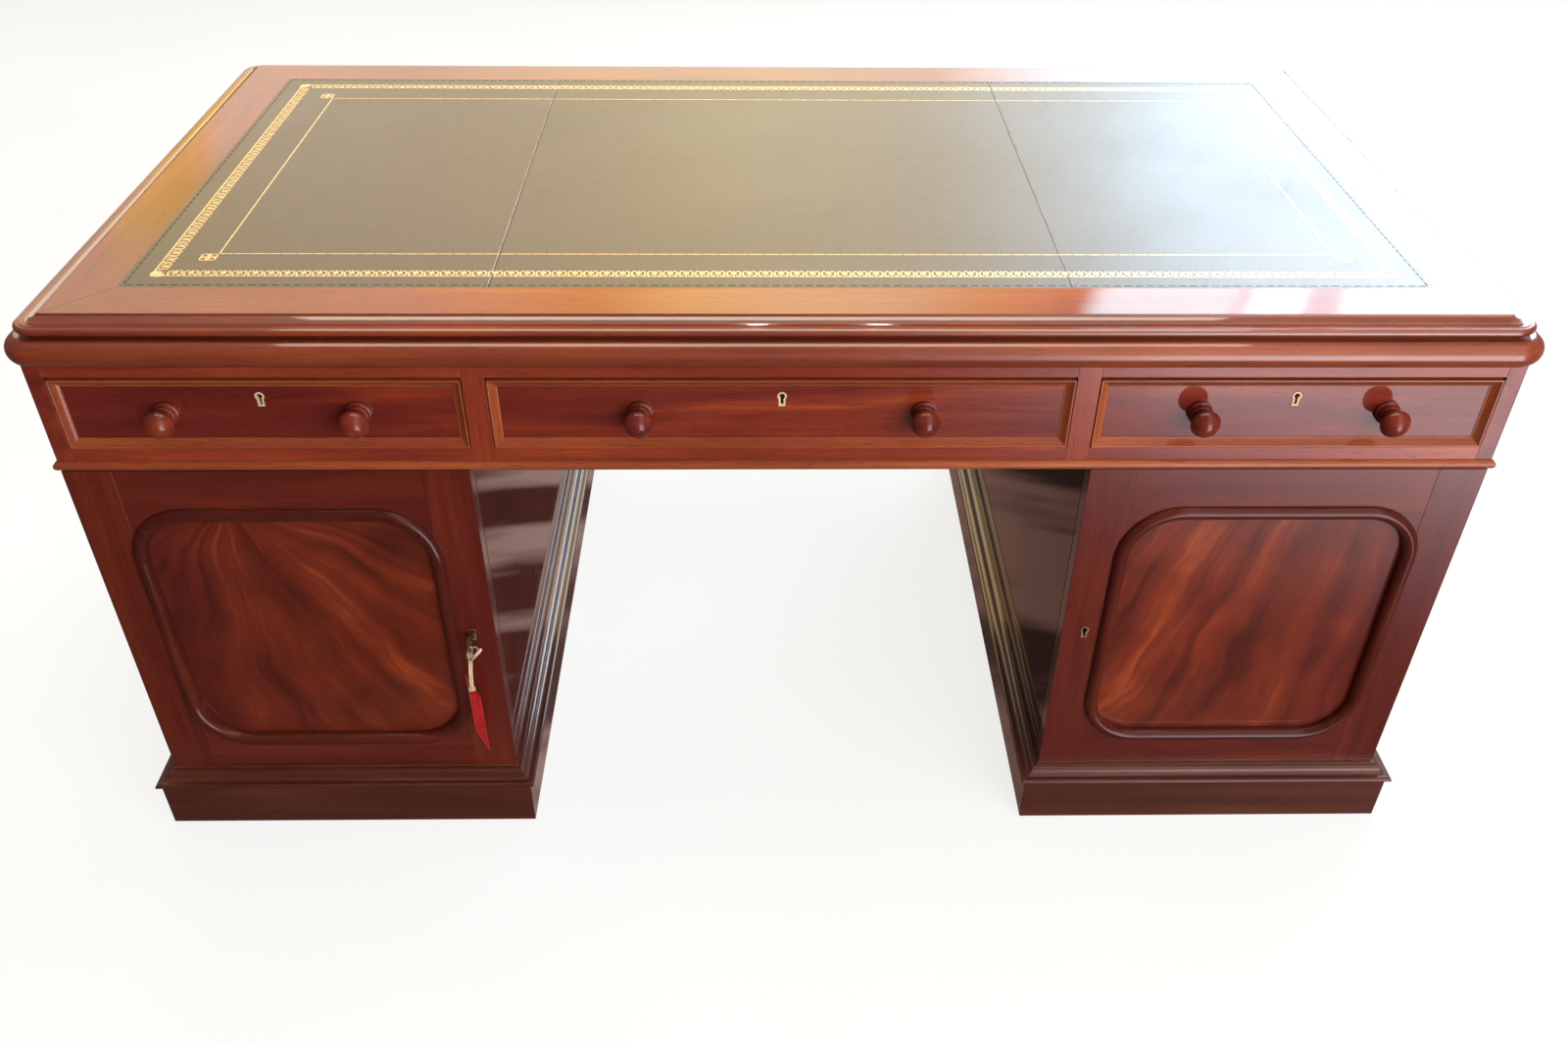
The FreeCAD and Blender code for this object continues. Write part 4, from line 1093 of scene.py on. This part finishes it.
def make_light():
    """Two lamps high behind, a soft light overhead and a soft fill in front on the right."""
    for number, x in enumerate(LAMP_XS, start=1):
        soft_light(f"lamp_{number}", place=(x, 3.9, 4.4), size=(0.1, 0.1), radiance=150.0, tint="fff6ea")
    soft_light("overhead", place=(0.0, 0.4, 4.2), size=(3.6, 2.6), radiance=3.4, tint="fff0d8")
    soft_light(
        "front_fill", place=(1.7, -3.2, 1.7), size=(4.4, 1.8), radiance=6.4, tint="fff0e0", mirrored=False,
    )


# Each span is a stretch of a direction's x, y or z over which one part of the room gives way to the next

ROOM_STRENGTH = (0.4, 0.8)
ROOM_ABOVE, ABOVE_SPAN = "84706a", (-0.05, 0.25)
FRONT_SPAN = (0.2, -0.2)
LIT_SPAN = (-0.2, 0.4)
DIM, DIM_LIT = "453530", "4e3a36"
STROKE, STROKE_LIT = "a47b6c", "ffdcd4"
STROKE_STRETCH, STROKE_EDGES = (3.0, 3.0, 24.0), (0.44, 0.56)
DARK, DARK_SHAPE = "1d1512", "6a5a54"
SHAPE_STRETCH, SHAPE_EDGES = (3.0, 3.0, 7.0), (0.42, 0.58)
CARPET, CARPET_SPAN = "7a7468", (-0.640, -0.656)
GLARE, GLARE_STRENGTH = "f0e6ec", 4.4
GLARE_RISE = (-0.60, -0.47)
GLARE_SIDES = ((0.06, 0.30), (0.70, 0.55))


def make_room():
    """Room that the polish mirrors: pale above, dim below, with a bright stretch in front on the right."""
    world = bpy.data.worlds.new("room")
    world.use_nodes = True
    tree = world.node_tree
    background = tree.nodes["Background"]
    facing = add(tree, "TexCoord").outputs["Generated"]
    axes = add(tree, "SeparateXYZ", {0: facing}).outputs
    shapes = noise(tree, scaled(tree, facing, SHAPE_STRETCH), scale=1.4, detail=2.0)
    strokes = noise(tree, scaled(tree, facing, STROKE_STRETCH), scale=1.6, detail=3.0)
    lit = between(tree, axes["X"], LIT_SPAN)
    dim = mix(tree, lit, colour(DIM), colour(DIM_LIT))
    bright = mix(tree, lit, colour(STROKE), colour(STROKE_LIT))
    behind = mix(tree, between(tree, strokes, STROKE_EDGES), dim, bright)
    ahead = mix(tree, between(tree, shapes, SHAPE_EDGES), colour(DARK), colour(DARK_SHAPE))
    ahead = mix(tree, between(tree, axes["Z"], CARPET_SPAN), ahead, colour(CARPET))
    in_front = between(tree, axes["Y"], FRONT_SPAN)
    glare = times(tree, between(tree, axes["Z"], GLARE_RISE), in_front)
    for span in GLARE_SIDES:
        glare = times(tree, glare, between(tree, axes["X"], span))
    below = mix(tree, in_front, behind, mix(tree, glare, ahead, colour(GLARE)))
    shade = mix(tree, between(tree, axes["Z"], ABOVE_SPAN), below, colour(ROOM_ABOVE))
    strength = between(tree, axes["Y"], (-1.0, 1.0), to=ROOM_STRENGTH)
    strength = weighted(tree, (strength, 1.0), (glare, GLARE_STRENGTH))
    tree.links.new(shade, background.inputs["Color"])
    tree.links.new(strength, background.inputs["Strength"])
    bpy.context.scene.world = world
    bpy.context.scene.view_settings.view_transform = "Standard"


make_camera()
make_floor()
make_wall()
make_light()
make_room()
finish_pieces()
tool_leather()
hang_tag()
